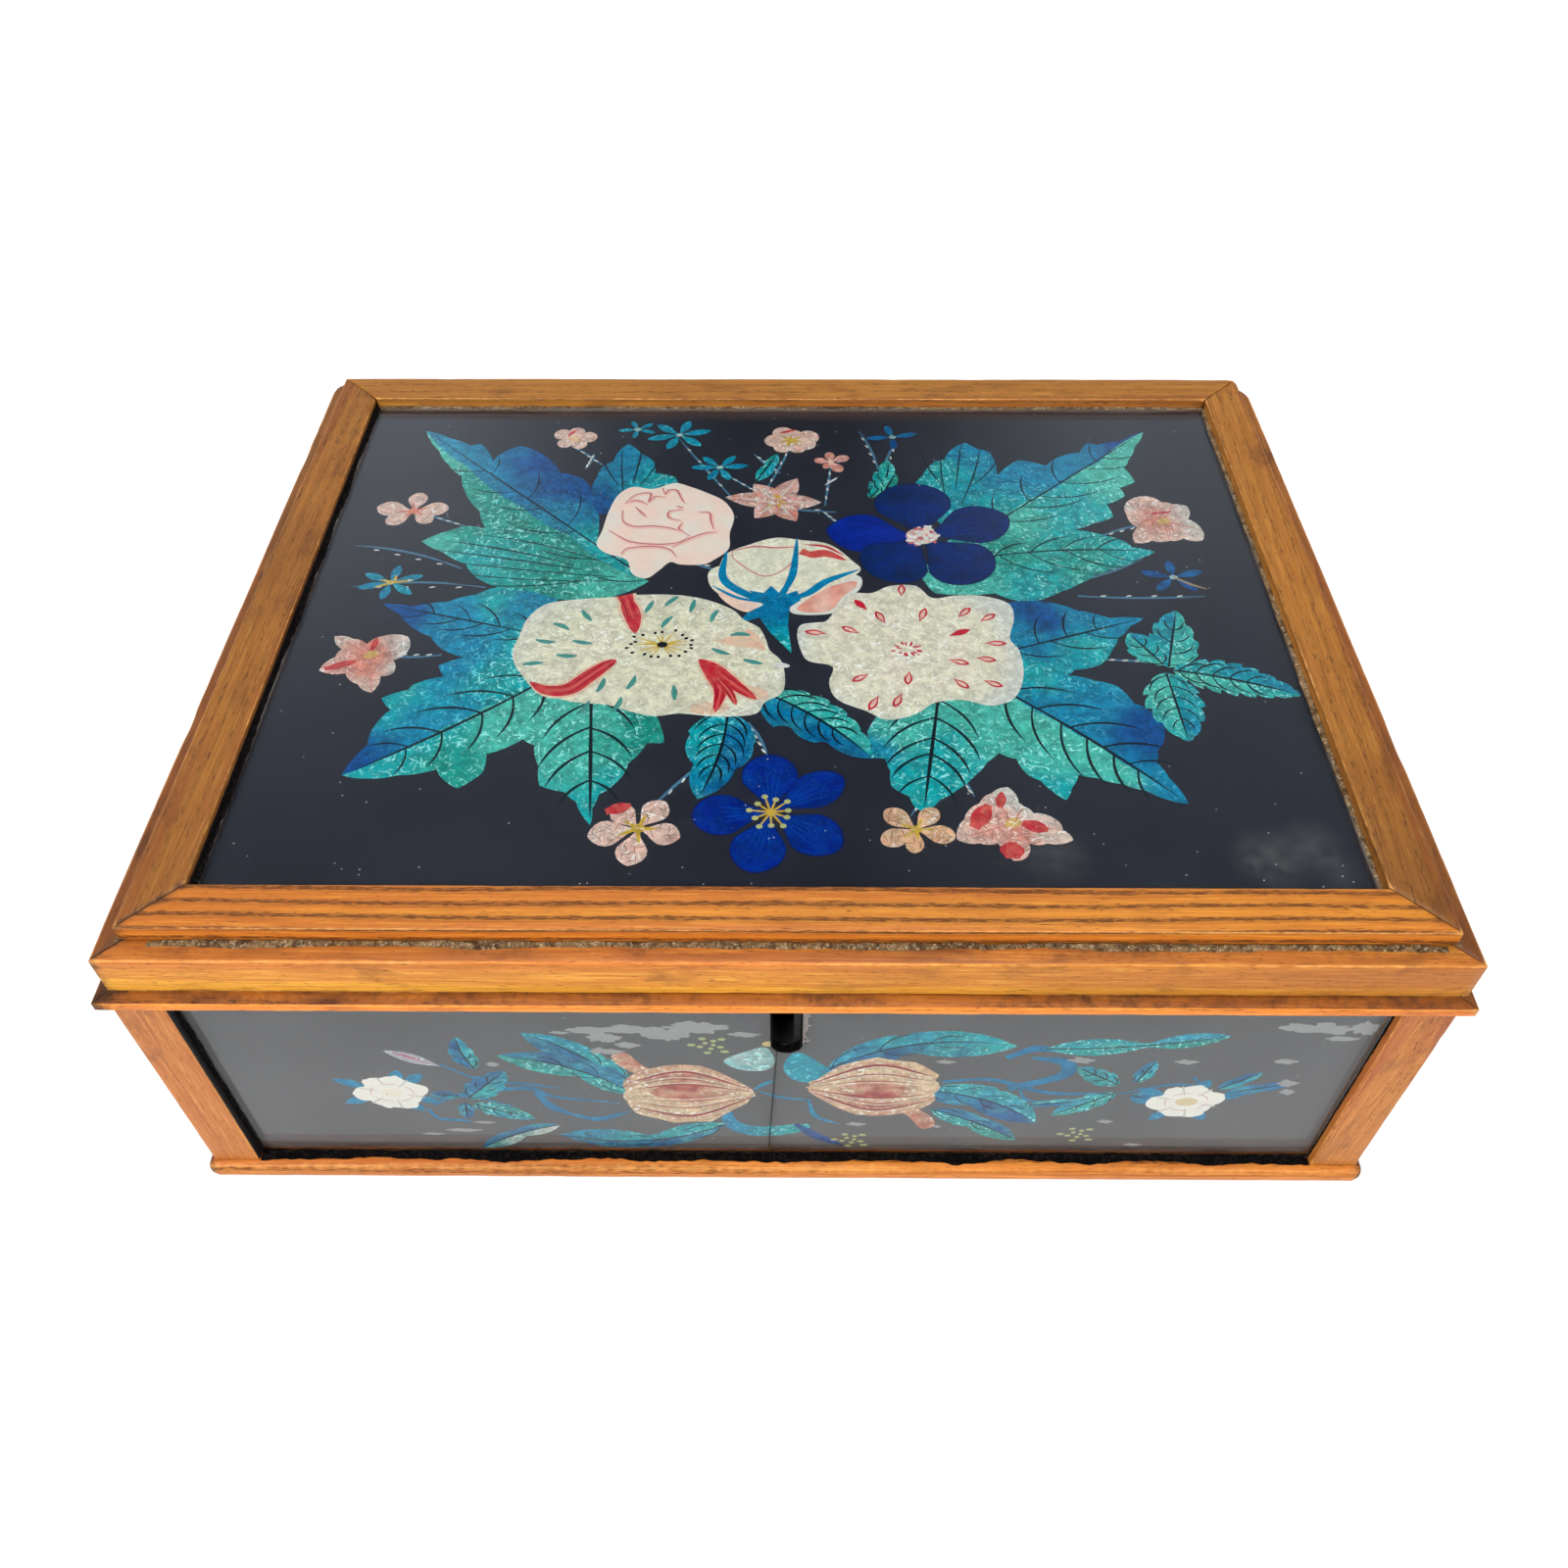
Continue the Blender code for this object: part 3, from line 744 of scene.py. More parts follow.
    def fan(self, base, tip, count, spread, width=0.5):
        """Long veins that part from one another towards the edge of a leaf."""
        axis, across = tip - base, unit(tip - base) * 1j * spread
        for k in range(count):
            aside = (k + 0.5) / count - 0.5
            start = base + axis * self.vary(0.02, 0.3) + across * aside * 0.35
            stop = base + axis * (0.94 - 0.9 * aside * aside) + across * aside
            self.line(bowed(start, stop, 0.12 * aside, 10), width * self.vary(0.8, 1.2), "vein", 0, 0.6, 0.2)

    def crackled(self, centre, reach, count):
        """Fine dark cracks in the paint."""
        for _ in range(count):
            spot = centre + turned(self.vary(0, 360), reach * math.sqrt(self.chance.random()))
            step = turned(self.vary(0, 360), self.vary(0.7, 1.5))
            self.line([spot - step, spot + step * 0.2j, spot + step], 0.16, (0.1, 0.05, 0.04), 0, 0.8, 0.5)

    def blossom(self, centre, petals, tone, heart, heart_size=1.6, crackle=0, width=0.8, blunt=0.55):
        """A small open flower; petals has each one's direction and length."""
        base = self.tone_of(tone)
        for heading, length in petals:
            way = turned(heading)
            shade = blend(self.vary(0, 0.3), base, self.colours.frost)

            def mottled(place, shade=shade):
                return blend(cloudy(place, 2.6, heading) * 0.7 - 0.12, shade, self.colours.salmon)

            self.lay(petal(centre - way * 0.5, centre + way * length, length * width, 0.66, blunt), mottled,
                     0.8)
            self.crackled(centre + way * length * 0.6, length * 0.3, int(crackle * length))
        for heading, length in petals:
            way = turned(heading + 14)
            path = [centre, centre + way * length * 0.25, centre + way * length * 0.45]
            self.line(path, heart_size * 0.6, heart, 0.6, 0.8, 0.3)
        self.lay(oval(centre, heart_size, heart_size * 0.85, count=10), heart, 0.6)


def painted_sheet(name, patches, outline_to_world, spacing, seed):
    """A flat sheet with all the patches cut into it, each corner coloured by the topmost one."""
    chance = random.Random(seed)
    points, rings = [], []
    for patch in patches:
        rings.append(list(range(len(points), len(points) + len(patch.outline))))
        points += patch.outline
    ground = patches[0].outline
    low = complex(min(p.real for p in ground), min(p.imag for p in ground))
    high = complex(max(p.real for p in ground), max(p.imag for p in ground))
    rows = int((high.imag - low.imag) / spacing)
    columns = int((high.real - low.real) / spacing)
    for row in range(1, rows):
        for column in range(1, columns):
            jitter = complex(chance.uniform(-0.3, 0.3), chance.uniform(-0.3, 0.3)) * spacing
            points.append(low + complex(column, row) * spacing + jitter)
    corners, _, triangles, _, _, owners = delaunay_2d_cdt(
        [Vector((p.real, p.imag)) for p in points], [], rings, 0, 1e-5, True)
    kept = [(triangle, max(owner)) for triangle, owner in zip(triangles, owners) if 0 in owner]
    used = {corner: k for k, corner in enumerate(sorted({c for triangle, _ in kept for c in triangle}))}
    places = [complex(corners[corner].x, corners[corner].y) for corner in used]
    kept = [(tuple(used[corner] for corner in triangle), owner) for triangle, owner in kept]
    mesh = bpy.data.meshes.new(name)
    mesh.from_pydata([outline_to_world(place) for place in places], [], [triangle for triangle, _ in kept])
    colours, foils, known = [], [], {}
    for triangle, owner in kept:
        patch = patches[owner]
        for corner in triangle:
            key = (corner, owner)
            if key not in known:
                known[key] = (*patch.tone(places[corner]), 1), patch.foil(places[corner])
            colours.append(known[key][0])
            foils.append(known[key][1])
    write_attribute(mesh, "paint", "FLOAT_COLOR", "color", colours, "CORNER")
    write_attribute(mesh, "foil", "FLOAT", "value", foils, "CORNER")
    place_piece(name, mesh, "painted_panel", "painted foil")


BLACK = (0.006, 0.006, 0.008)
MITRE_PLAY = 0.2 * MM
LID_TRIM_WIDTH = 12 * MM
NOTCH = (0.8, 7.2, 56.2)  # middle, width and foot of the notch in the front glass, in millimetres


def ground_tone(dark, smudges):
    """Near-black paint with a faint cloudiness and a few rubbed places: (place, reach, strength)."""
    dark = tuple(dark)

    def tone(place):
        colour = dim(dark, 0.86 + 0.28 * cloudy(place, 24, 3))
        for middle, reach, strength in smudges:
            near = max(0, 1 - abs(place - middle) / reach)
            colour = blend(near * strength * cloudy(place, 2.2, 7) * 1.6, colour, (0.14, 0.14, 0.14))
        return colour
    return tone


def paint_cream_flower(art, centre, across, deep):
    """A broad cream flower with red flames, teal dashes and a dark eye."""
    c = art.colours

    def at(x, y):
        return centre + complex(across * x, deep * y)

    def tone(place):
        step = complex((place - centre).real / across, (place - centre).imag / deep)
        colour = blend(cloudy(place, 9, 2) * 0.9 - 0.1, c.cream, c.white)
        return blend((abs(step) - 0.82) * 1.6, colour, c.frost)

    outline = [centre + (-0.5+0.5j) + p for p in (
        -35+1j, -34+7j, -33+13j, -29+19j, -21+21j, -12+22j, -5+23j, 6+23j, 14+21j, 21+17j,
        24+13j, 28+10j, 30+5j, 31+1j, 34-3j, 35-10j, 34-15j, 30-18j, 28-22j, 22-23j,
        17-23j, 9-22j, 3-23j, -4-21j, -9-19j, -18-18j, -27-14j, -31-9j, -34-4j)]
    art.lay(closed_through(outline, 3), tone, 0.75)
    warm = blend(0.55, c.salmon, c.cream)
    art.lay([centre + p for p in (15.5+5j, 22.5+8j, 25+10j, 28.5+5.5j, 29.5+1.5j, 22.5+3j)],
            blots(2.5, 5, 0.9, -0.1, c.salmon, c.cream), 0.3)
    art.lay(oval(at(0.76, -0.62), 4.4, 2.4, -15), warm, 0.4)
    art.lay(oval(at(0.46, -0.86), 5, 2.2, 5), warm, 0.5)
    flames = ((4.4, 0.1, 0.12, (-29.5-10.5j, -25-13.4j, -19.5-13j, -15-8.4j, -11-4.2j, -8.5-2.2j)),
              (4.2, 0.15, 0.1, (12.5-2j, 16.5-5.5j, 21-10.5j, 27.5-16.5j)),
              (3.8, 0.15, 0.1, (12.5-2j, 16-7.5j, 18.4-13j, 17.4-21j)),
              (2.4, 0.1, 0.1, (13-3j, 17.5-9j, 20.5-13.5j, 22.5-18.5j)),
              (4.6, 0.05, 0.95, (-4.6+8j, -5.6+14j, -7.2+19j, -8.6+23.4j)))
    for width, start, end, path in flames:
        art.stroke(centre, path, width * 1.4, warm, 0.4, start, end)
    for width, start, end, path in flames:
        art.stroke(centre, path, width, blots(2, 9, 1, 0.35, c.crimson, c.salmon), 0.3, start, end)
        for k in range(3):
            aside = width * (0.24 * k - 0.24) * unit(path[-1] - path[0]) * 1j
            fibre = blend(0.55, c.crimson, c.salmon) if k == 1 else dim(c.crimson, 0.6)
            art.line(through([centre + p + aside for p in path[1:]], 3), 0.4, fibre, 0.2, 0.3, 0.1)
    dashes = ((-0.05, 0.82, 70), (0.28, 0.84, 80), (0.46, 0.66, 70), (-0.52, 0.66, -55), (0.1, 0.55, 60),
              (-0.8, 0.22, -10), (-0.52, 0.2, -12), (-0.62, -0.02, -3), (-0.86, -0.16, 8), (-0.34, -0.5, 75),
              (-0.12, -0.46, 70), (-0.2, -0.8, 72), (0.2, -0.62, 95), (0.52, 0.05, -25), (0.76, -0.12, -18),
              (0.66, 0.32, 0), (0.12, 0.92, 50), (-0.7, 0.46, -30), (-0.44, -0.86, 60))
    for x, y, heading in dashes:
        step = turned(heading, 2.6)
        art.line(bowed(at(x, y) - step, at(x, y) + step, art.vary(-0.12, 0.12), 6), 1.5, "teal", 0.2, 0.5,
                 0.3)
        art.line([at(x, y) - step * 0.7, at(x, y) + step * 0.7], 0.3, blend(0.5, c.teal, c.ground), 0, 0.5,
                 0.3)
    heart = at(0.08, 0.16)
    for k in range(20):
        way = turned(18 * k + art.vary(-6, 6))
        tip = heart + complex(way.real * 1, way.imag * 0.62) * art.vary(7.2, 9.6)
        if k % 4 != 3:
            art.line([heart, (heart + tip) / 2, heart + (tip - heart) * 0.84], 0.5, "yellow", 0, 0.9, 0.4)
        art.lay(oval(tip, 0.6, 0.45, heading_of(way), count=7), BLACK)
    art.lay(oval(heart, 1.4, 1.15, count=12), BLACK)


def paint_white_flower(art, centre):
    """A white flower with round lobes and red-rimmed marks."""
    c = art.colours

    def tone(place):
        colour = blend(cloudy(place, 8, 1) * 0.8, c.white, c.cream)
        return blend((abs(place - centre) - 22) * 0.14, colour, c.frost)

    outline = [centre + (-0.5+0.5j) + p for p in (
        -28+5j, -27+9j, -23+10j, -20+11j, -16+19j, -13+22j, -8+22j, -3+25j, 4+25j, 8+20j,
        14+21j, 21+21j, 28+18j, 29+12j, 27+4j, 29-1j, 29-10j, 26-18j, 20-21j, 13-19j,
        6-20j, 1-24j, -6-26j, -11-23j, -18-19j, -20-13j, -19-7j, -25-5j, -27-1j)]
    art.lay(closed_through(outline, 4), tone, 0.7)
    for mark in (-23+6j, -14+7j, -11+17j, -6+12j, 0+23j, 5+13j, 16+14j, 22+12j, 14+6j,
                 23+2j, 13-5j, 20-4j, 13-13j, 21-13j, 0-11j, -12-11j, -9-20j, -3-19j):
        step = mark + (-0.5+0.5j)
        heading = heading_of(complex(step.real, step.imag * 0.8)) + art.vary(-12, 12)
        long = art.vary(2.6, 3.4)
        spot = centre + step
        art.lay(petal(spot - turned(heading, long), spot + turned(heading, long), 2.2, 0.6, 0.8, 0.4, 8),
                "crimson", 0.2)
        if art.chance.random() < 0.85:
            art.lay(petal(spot - turned(heading, long * 0.7), spot + turned(heading, long * 0.7), 1.15, 0.6,
                          0.8, 0.4, 6),
                    blend(0.5, c.white, c.salmon), 0.5)
    for k in range(15):
        way = turned(24 * k + art.vary(-8, 8))
        start = centre + complex(way.real, way.imag * 0.7) * art.vary(1.5, 3.5)
        end = start + complex(way.real, way.imag * 0.9) * art.vary(1.2, 2.4)
        art.line([start, (start + end) / 2, end], 0.7, art.chance.choice(("crimson", "rose_line", "crimson")),
                 0.2, 0.6, 0.3)
    art.dots(centre + (2-3j), 6, 22, 0.4, (0.95, 0.95, 0.93), 0.35)


def paint_rose(art, centre, size):
    """A full-blown pink rose of overlapping petals, each with a thin deeper edge."""
    c = art.colours
    outline = [centre + p * size / 19.5 for p in (
        -18-6j, -17+0j, -16+9j, -14+17j, -10+21j, -4+20j, 2+23j, 7+21j, 12+18j, 17+14j, 20+7j,
        19-1j, 19-8j, 15-13j, 12-15j, 6-15j, 3-14j, 0-18j, -3-21j, -7-19j, -9-13j, -15-10j)]
    art.lay(closed_through(outline, 4), blots(6, 4, 1.1, 0.15, c.rose, c.frost), 0.1)
    folds = ((-0.62+0.5j, -0.59+0.24j, -0.42+0.11j, -0.14+0.12j, 0.14+0.06j, 0.4-0.1j),
             (-0.78+0.02j, -0.62-0.12j, -0.46-0.24j, -0.2-0.3j, 0.1-0.3j, 0.28-0.24j, 0.4-0.1j),
             (-0.58+0.68j, -0.43+0.74j, -0.26+0.64j),
             (-0.6+0.66j, -0.46+0.88j, -0.24+0.92j, -0.25+0.7j, -0.16+0.84j, 0+0.82j),
             (-0.07+1.06j, -0.02+0.9j, 0.03+1j, 0.15+0.99j, 0.24+0.76j, 0.29+0.68j),
             (0.41+0.9j, 0.29+0.66j, 0.25+0.38j, 0.29+0.19j, 0.44+0.34j, 0.52+0.56j, 0.5+0.8j, 0.41+0.9j),
             (0.5+0.46j, 0.66+0.44j, 0.69+0.26j, 0.74+0.04j),
             (0.28+0.2j, 0.23+0.06j, 0.32-0.02j),
             (0.16+0.6j, 0.27+0.57j),
             (0.27+0.52j, 0.07+0.47j, 0.08+0.32j, 0.26+0.25j),
             (-0.44+0.58j, -0.26+0.34j),
             (-0.55-0.54j, -0.46-0.4j, -0.12-0.36j, 0.12-0.42j, 0.24-0.6j),
             (0.16-0.38j, 0.42-0.16j, 0.64-0.04j, 0.8-0.02j))
    for fold in folds:
        path = through([centre + p * size for p in fold])
        art.line([p + complex(0.3, -0.5) for p in path], 1.4, blend(0.75, c.rose_line, c.rose), 0.1, 0.3, 0.2)
        art.line(path, 0.5, dim(c.rose_line, 0.85), 0, 0.6, 0.4)


def paint_bud(art, centre):
    """A cream rosebud held by blue sepals."""
    c = art.colours
    cream = blend(0.25, c.cream, c.white)
    lit = blots(5, 8, 0.9, 0.2, cream, c.frost)
    warm = blots(4, 6, 0.9, 0, c.salmon, c.rose)
    art.body(centre, (-13+3j, -19+9j, -20+16j, -15+18j, -8+8j, -4+1j, -9+0j), lit, 0.4)
    art.body(centre, (-14+2j, -17+7j, -10+7j, -6+2j, -9-1j), "rose", 0.3)
    art.body(centre, (2+0j, 6-2j, 14-1j, 17+4j, 21+9j, 21+14j, 15+15j, 6+8j), "frost", 0.3)
    art.body(centre, (4+1j, 7-1j, 13+0j, 16+5j, 20+10j, 19+12j, 12+9j), warm, 0.3)
    art.body(centre, (-3+1j, -12+6j, -17+13j, -16+23j, -9+28j, -2+31j, 5+30j, 13+28j,
                                                 19+21j, 21+16j, 12+9j, 4+3j), lit, 0.55)
    art.stroke(centre, (-14+25j, -13+21j, -5+14j, 2+19j, 4+27j), 0.4, "rose_line", 0, 0.5, 0.5)
    art.stroke(centre, (-14+25j, -8+27j, -2+26.5j, 4+27j), 0.7, "rose_line", 0.2, 0.4, 0.8)
    art.stroke(centre, (5+25j, 8+23.5j, 12+24j, 17.5+21j), 3.2,
             blots(1.4, 2, 1.3, 0.3, c.crimson, c.salmon), 0.3, 0.9, 0.1)
    art.stroke(centre, (6+28j, 12+27j, 17+23j), 0.9, "crimson", 0.3, 0.3, 0.1)
    for path, width in (((-2+3j, -9+6j, -16+13j, -15.5+25j), 2.6), ((-1+4j, 2+12j, 3.2+18j, 4+31j), 2.2),
                        ((0+3j, 7+7j, 12+12j, 21+17j), 2.4), ((-4+3j, -12+5j, -19+10j), 1.1)):
        art.stroke(centre, path, width, blend(0.2, c.azure, c.deep_blue), 0.5, 1, 0.12)
    calyx = (-9+8j, -5+7j, -3+10j, 0+6j, 4+8j, 5+4j, 2+1j, 1.6-6j, 2.6-17j, -3-9j, -6-3j, -12-6j, -9-1j,
             -5+2j)
    art.lay([centre + p for p in calyx],
            lambda place: blend((centre.imag - place.imag - 3) / 10, blend(0.3, c.azure, c.deep_blue),
                                c.turquoise),
            0.8)


def paint_broad_petals(art, centre, petals, streak, foil):
    """A large blue flower; petals has each one's direction, length, width, colour and point."""
    for heading, length, width, tone, blunt in petals:
        way = turned(heading)
        base = art.tone_of(tone)

        def shade(place, base=base, heading=heading):
            local = (place - centre) / turned(heading)
            rays = 0.5 + 0.5 * math.sin(local.imag * 3.2 + 2 * noise.noise(Vector((local.real * 0.2,
                                                                                   local.imag, heading))))
            edge = cloudy(place, 6, heading)
            return blend(edge * 1.1 - 0.15, blend(rays * 0.4, base, art.tone_of(streak)), dim(base, 0.45))

        outline = petal(centre + way * 0.5, centre + way * length, width, 0.62, blunt, 0.3, 14)
        art.lay(outline, shade, foil)
        art.line(outline[2:-2], 0.35, dim(base, 0.4), 0, 0.6, 0.6)
        for k in range(4):
            lean = way * turned((k - 1.5) * 8)
            art.line([centre + lean * length * s for s in (0.15, 0.45, 0.75)], 0.5,
                     blend(0.6, art.tone_of(streak), base), foil, 0.5, 0.05)


# Near and far colours for half a leaf
BLUE, SEA = ("azure", "deep_blue"), ("turquoise", "green")
MID, PALE = ("turquoise", "azure"), ("pale_green", "turquoise")

# The lid's stems, from end to end
LID_STEMS = (
    (-104+42j, -91+36j), (-66+77j, -55+66j), (-58+72j, -60+64j), (-33+80j, -16+50j), (-20+63j, -8+52j),
    (1+76j, -6+54j), (-10+72j, -2+62j), (13+66j, 11+46j), (11+56j, 15+60j), (22+84j, 27+64j),
    (33+78j, 28+58j), (10+44j, 16+36j), (104+38j, 88+32j), (98+22j, 78+12j), (112+6j, 78+6j),
    (-104-18j, -88-18j), (-120+27j, -89+17j), (-117+9j, -81+9j), (-32-72j, -18-54j), (29-72j, 36-60j),
    (44-66j, 40-58j), (-4-54j, -9-42j), (96-20j, 80-19j), (-28+21j, -12+15j), (-12+48j, 14+43j))

# The halves of the lid's broad leaves: the corners, and the places where each colour is strongest
LID_MASSES = (
    ((-111+84j, -95+65j, -76+45j, -61+32j, -50+20j, -37+12j, -43+7j, -51+4j, -65+5j, -75+8j, -84+13j, -88+19j,
      -95+24j, -102+29j, -95+34j, -91+36j, -85+35j, -88+43j, -94+53j, -96+60j, -101+66j, -105+73j),
     dict(pale_green=(-104+74j, -98+28j, -46+10j), green=(-90+58j, -74+38j, -62+14j, -90+32j),
          turquoise=(-84+22j,))),
    ((-111+84j, -103+80j, -96+76j, -93+77j, -88+68j, -86+72j, -81+76j, -74+72j, -67+62j, -60+59j, -56+50j,
      -53+30j, -37+12j, -50+20j, -61+32j, -76+45j, -95+65j),
     dict(azure=(-100+78j, -86+64j, -64+42j), deep_blue=(-76+68j, -62+52j), turquoise=(-50+26j,))),
    ((-54+42j, -57+54j, -56+60j, -55+65j, -52+68j, -50+75j, -48+77j, -44+72j, -40+68j, -39+62j, -33+60j,
      -31+52j, -43+44j),
     dict(azure=(-56+60j, -46+72j, -48+62j), deep_blue=(-54+48j,), turquoise=(-40+60j,))),
    ((-64-30j, -74-37j, -83-44j, -94-53j, -104-60j, -98-61j, -91-60j, -82-58j, -80-61j, -76-64j, -71-59j,
      -71-53j, -63-48j, -60-50j, -58-57j, -57-63j, -51-65j, -48-68j, -44-75j, -44-70j, -43-66j, -38-60j,
      -37-56j, -33-49j, -29-49j, -30-44j, -32-39j, -45-28j, -60-24j),
     dict(turquoise=(-98-58j, -44-70j, -86-48j), green=(-80-56j, -36-48j),
          pale_green=(-66-44j, -60-34j, -54-44j, -48-52j))),
    ((-104-60j, -94-53j, -83-44j, -74-37j, -64-30j, -58-20j, -61+4j, -65+6j, -78+9j, -83+6j, -90+3j, -99+1j,
      -107+2j, -102-2j, -98-7j, -92-11j, -88-16j, -82-19j, -88-22j, -86-26j, -93-29j, -94-31j, -100-34j,
      -97-38j, -100-45j, -100-50j),
     dict(deep_blue=(-102-56j, -100-2j), azure=(-88-42j, -84-22j, -86-4j, -68+2j, -80-12j),
          turquoise=(-96-34j, -72-28j, -66-12j, -78+6j))),
    ((44+37j, 59+38j, 79+55j, 93+68j, 109+84j, 101+79j, 94+77j, 91+78j, 88+73j, 82+71j, 77+66j, 69+69j,
      62+61j, 61+73j, 57+75j, 54+78j, 50+75j, 47+69j, 44+68j, 40+61j, 37+55j),
     dict(azure=(55+74j, 58+60j, 70+62j, 84+70j), turquoise=(50+62j, 64+46j, 42+64j), deep_blue=(102+78j,))),
    ((43+28j, 59+38j, 79+55j, 93+68j, 109+84j, 105+76j, 102+69j, 100+65j, 102+58j, 97+55j, 98+51j, 92+47j,
      93+41j, 87+38j, 81+35j, 90+32j, 94+30j, 96+27j, 102+25j, 97+22j, 88+17j, 84+15j, 79+11j, 74+8j, 64+3j,
      56+7j, 40+7j, 37+13j),
     dict(pale_green=(106+78j, 94+60j, 66+38j, 48+10j), turquoise=(80+48j, 80+34j, 98+26j, 66+10j),
          green=(84+22j, 60+24j))),
    ((57-33j, 66-41j, 75-49j, 86-60j, 93-68j, 89-67j, 84-64j, 79-62j, 73-60j, 69-59j, 67-63j, 65-67j, 62-64j,
      60-61j, 57-59j, 55-54j, 51-52j, 48-55j, 45-59j, 40-64j, 36-67j, 32-71j, 30-69j, 29-66j, 25-63j, 25-58j,
      24-54j, 19-53j, 21-50j, 20-45j, 26-35j, 39-28j),
     dict(azure=(90-66j, 22-50j), pale_green=(78-58j, 60-48j, 44-42j, 28-44j, 70-52j),
          turquoise=(64-62j, 36-52j, 32-68j))),
    ((52-27j, 59+3j, 65+4j, 71+3j, 77+0j, 85-3j, 94-3j, 90-6j, 86-11j, 84-15j, 80-21j, 73-23j, 71-25j, 78-27j,
      83-29j, 86-35j, 89-37j, 92-42j, 91-48j, 89-51j, 88-55j, 90-60j, 93-68j, 86-60j, 75-49j, 66-41j, 57-33j),
     dict(azure=(92-4j, 78-4j, 62-14j, 76-34j, 90-62j, 66-34j), deep_blue=(66-2j, 88-44j),
          turquoise=(80-18j, 64-24j))))

# Their veins, as ribs() takes them
LID_RIBS = (
    (-37+12j, -111+84j, (6, 14, 20), (5, 15, 12), 0, 0.5),
    (-64-10j, -107+2j, (5, 7, 14), (4, 8, 11), 0, 0.5),
    (-60-27j, -104-60j, (5, 13, 13), (5, 13, 17), 0.02, 0.7),
    (-48-34j, -44-75j, (4, 13, 14), (4, 14, 14), 0, 0.75),
    (59+38j, 109+84j, (4, 12, 10), (6, 13, 21), 0, 0.5),
    (57+23j, 102+25j, (4, 8, 15), (4, 11, 20), 0.04, 0.5),
    (57-16j, 94-3j, (4, 12, 6), (3, 9, 17), 0, 0.55),
    (55-31j, 93-68j, (5, 15, 17), (6, 14, 19), 0.02, 0.7),
    (38-33j, 32-71j, (5, 13, 14), (5, 13, 14), 0, 0.75))

# The lid's small leaves, as leaf() takes them: four at the foot and above, then the sprig at the right
LID_LEAVES = (
    (-14-38j, -20-67j, (0.3, 8, 0.34, 7.4, 0.6, 6, 0.64, 5), (0.3, 9, 0.34, 8.4, 0.62, 6, 0.66, 5), BLUE, MID,
     0.05, 7),
    (-6-31j, 21-54j, teeth(6, 6.5, 0.45, 0.12), (0.3, 9, 0.4, 6.6, 0.62, 6.4, 0.68, 4.6), PALE, BLUE, 0.05,
     7),
    (24+50j, 30+69j, teeth(4, 4, 0.5, 0.3), teeth(4, 3, 0.5, 0.3), SEA, PALE, -0.1, 4),
    (28+52j, 32+62j, (0.5, 3, 0.56, 2), None, PALE, SEA, 0, 3),
    (-9+58j, -3+72j, (0.5, 1.5, 0.55, 1.2), (0.5, 2.6, 0.55, 2.2), SEA, MID, 0, 0),
    (97-22j, 103+0j, teeth(5, 6, 0.5, 0.2), (0.3, 7, 0.38, 6.4, 0.52, 6.4, 0.58, 5, 0.76, 4, 0.82, 2.6), MID,
     PALE, 0, 4),
    (96-21j, 89-9j, teeth(4, 5, 0.5, 0.2), None, PALE, MID, 0, 3),
    (98-23j, 128-32j, teeth(7, 6.5, 0.42, 0.2), teeth(7, 6, 0.42, 0.25), MID, PALE, 0.03, 6),
    (96-24j, 97-48j, teeth(5, 7, 0.45, 0.2), teeth(5, 8, 0.45, 0.2), MID, PALE, 0, 5))

# Three pink flowers with pointed petals: their corners and their hearts
LID_POINTED = (
    ((-117-11j, -112-12j, -108-14j, -105-11j, -98-11j, -97-17j, -100-20j, -99-25j, -102-26j, -103-32j,
      -107-29j, -111-25j, -118-24j, -115-19j, -114-16j),
     -106-18j),
    ((98+48j, 104+51j, 108+48j, 111+47j, 115+46j, 114+40j, 117+35j, 116+30j, 111+31j, 107+30j, 102+30j,
      97+29j, 99+36j, 97+42j),
     107+39j),
    ((39-79j, 41-73j, 45-68j, 48-65j, 52-63j, 54-68j, 55-69j, 57-71j, 62-73j, 63-76j, 65-79j, 59-80j, 55-80j,
      54-84j, 51-85j, 50-82j, 48-80j, 44-80j),
     52-74j))

# Red marks on the pink flowers: place, direction, half length and width
LID_MARKS = (
    (45-72j, 60, 4, 4.5), (51-82j, 85, 2.4, 5.5), (57-75j, -20, 3, 3.6), (50-67j, 80, 2.4, 2.4),
    (-113-22j, 22, 4, 2.6), (-106-14j, 85, 2.4, 1.8), (-38-70j, 20, 3, 3.2), (-66+83j, 60, 2, 1.2),
    (0+84j, 20, 2.4, 1.2), (107+43j, 10, 3, 1.2))

# Small blue flowers: place, petals, their length, colour and turn
LID_BLUE_FLOWERS = (
    (-33+82j, 6, 10, "azure", 20), (-46+85j, 5, 6, "azure", 40), (-20+65j, 6, 8.5, "azure", 0),
    (32+81j, 4, 8, "deep_blue", 10), (-107+11j, 6, 9, "azure", 25), (105+14j, 5, 9, "deep_blue", 12))


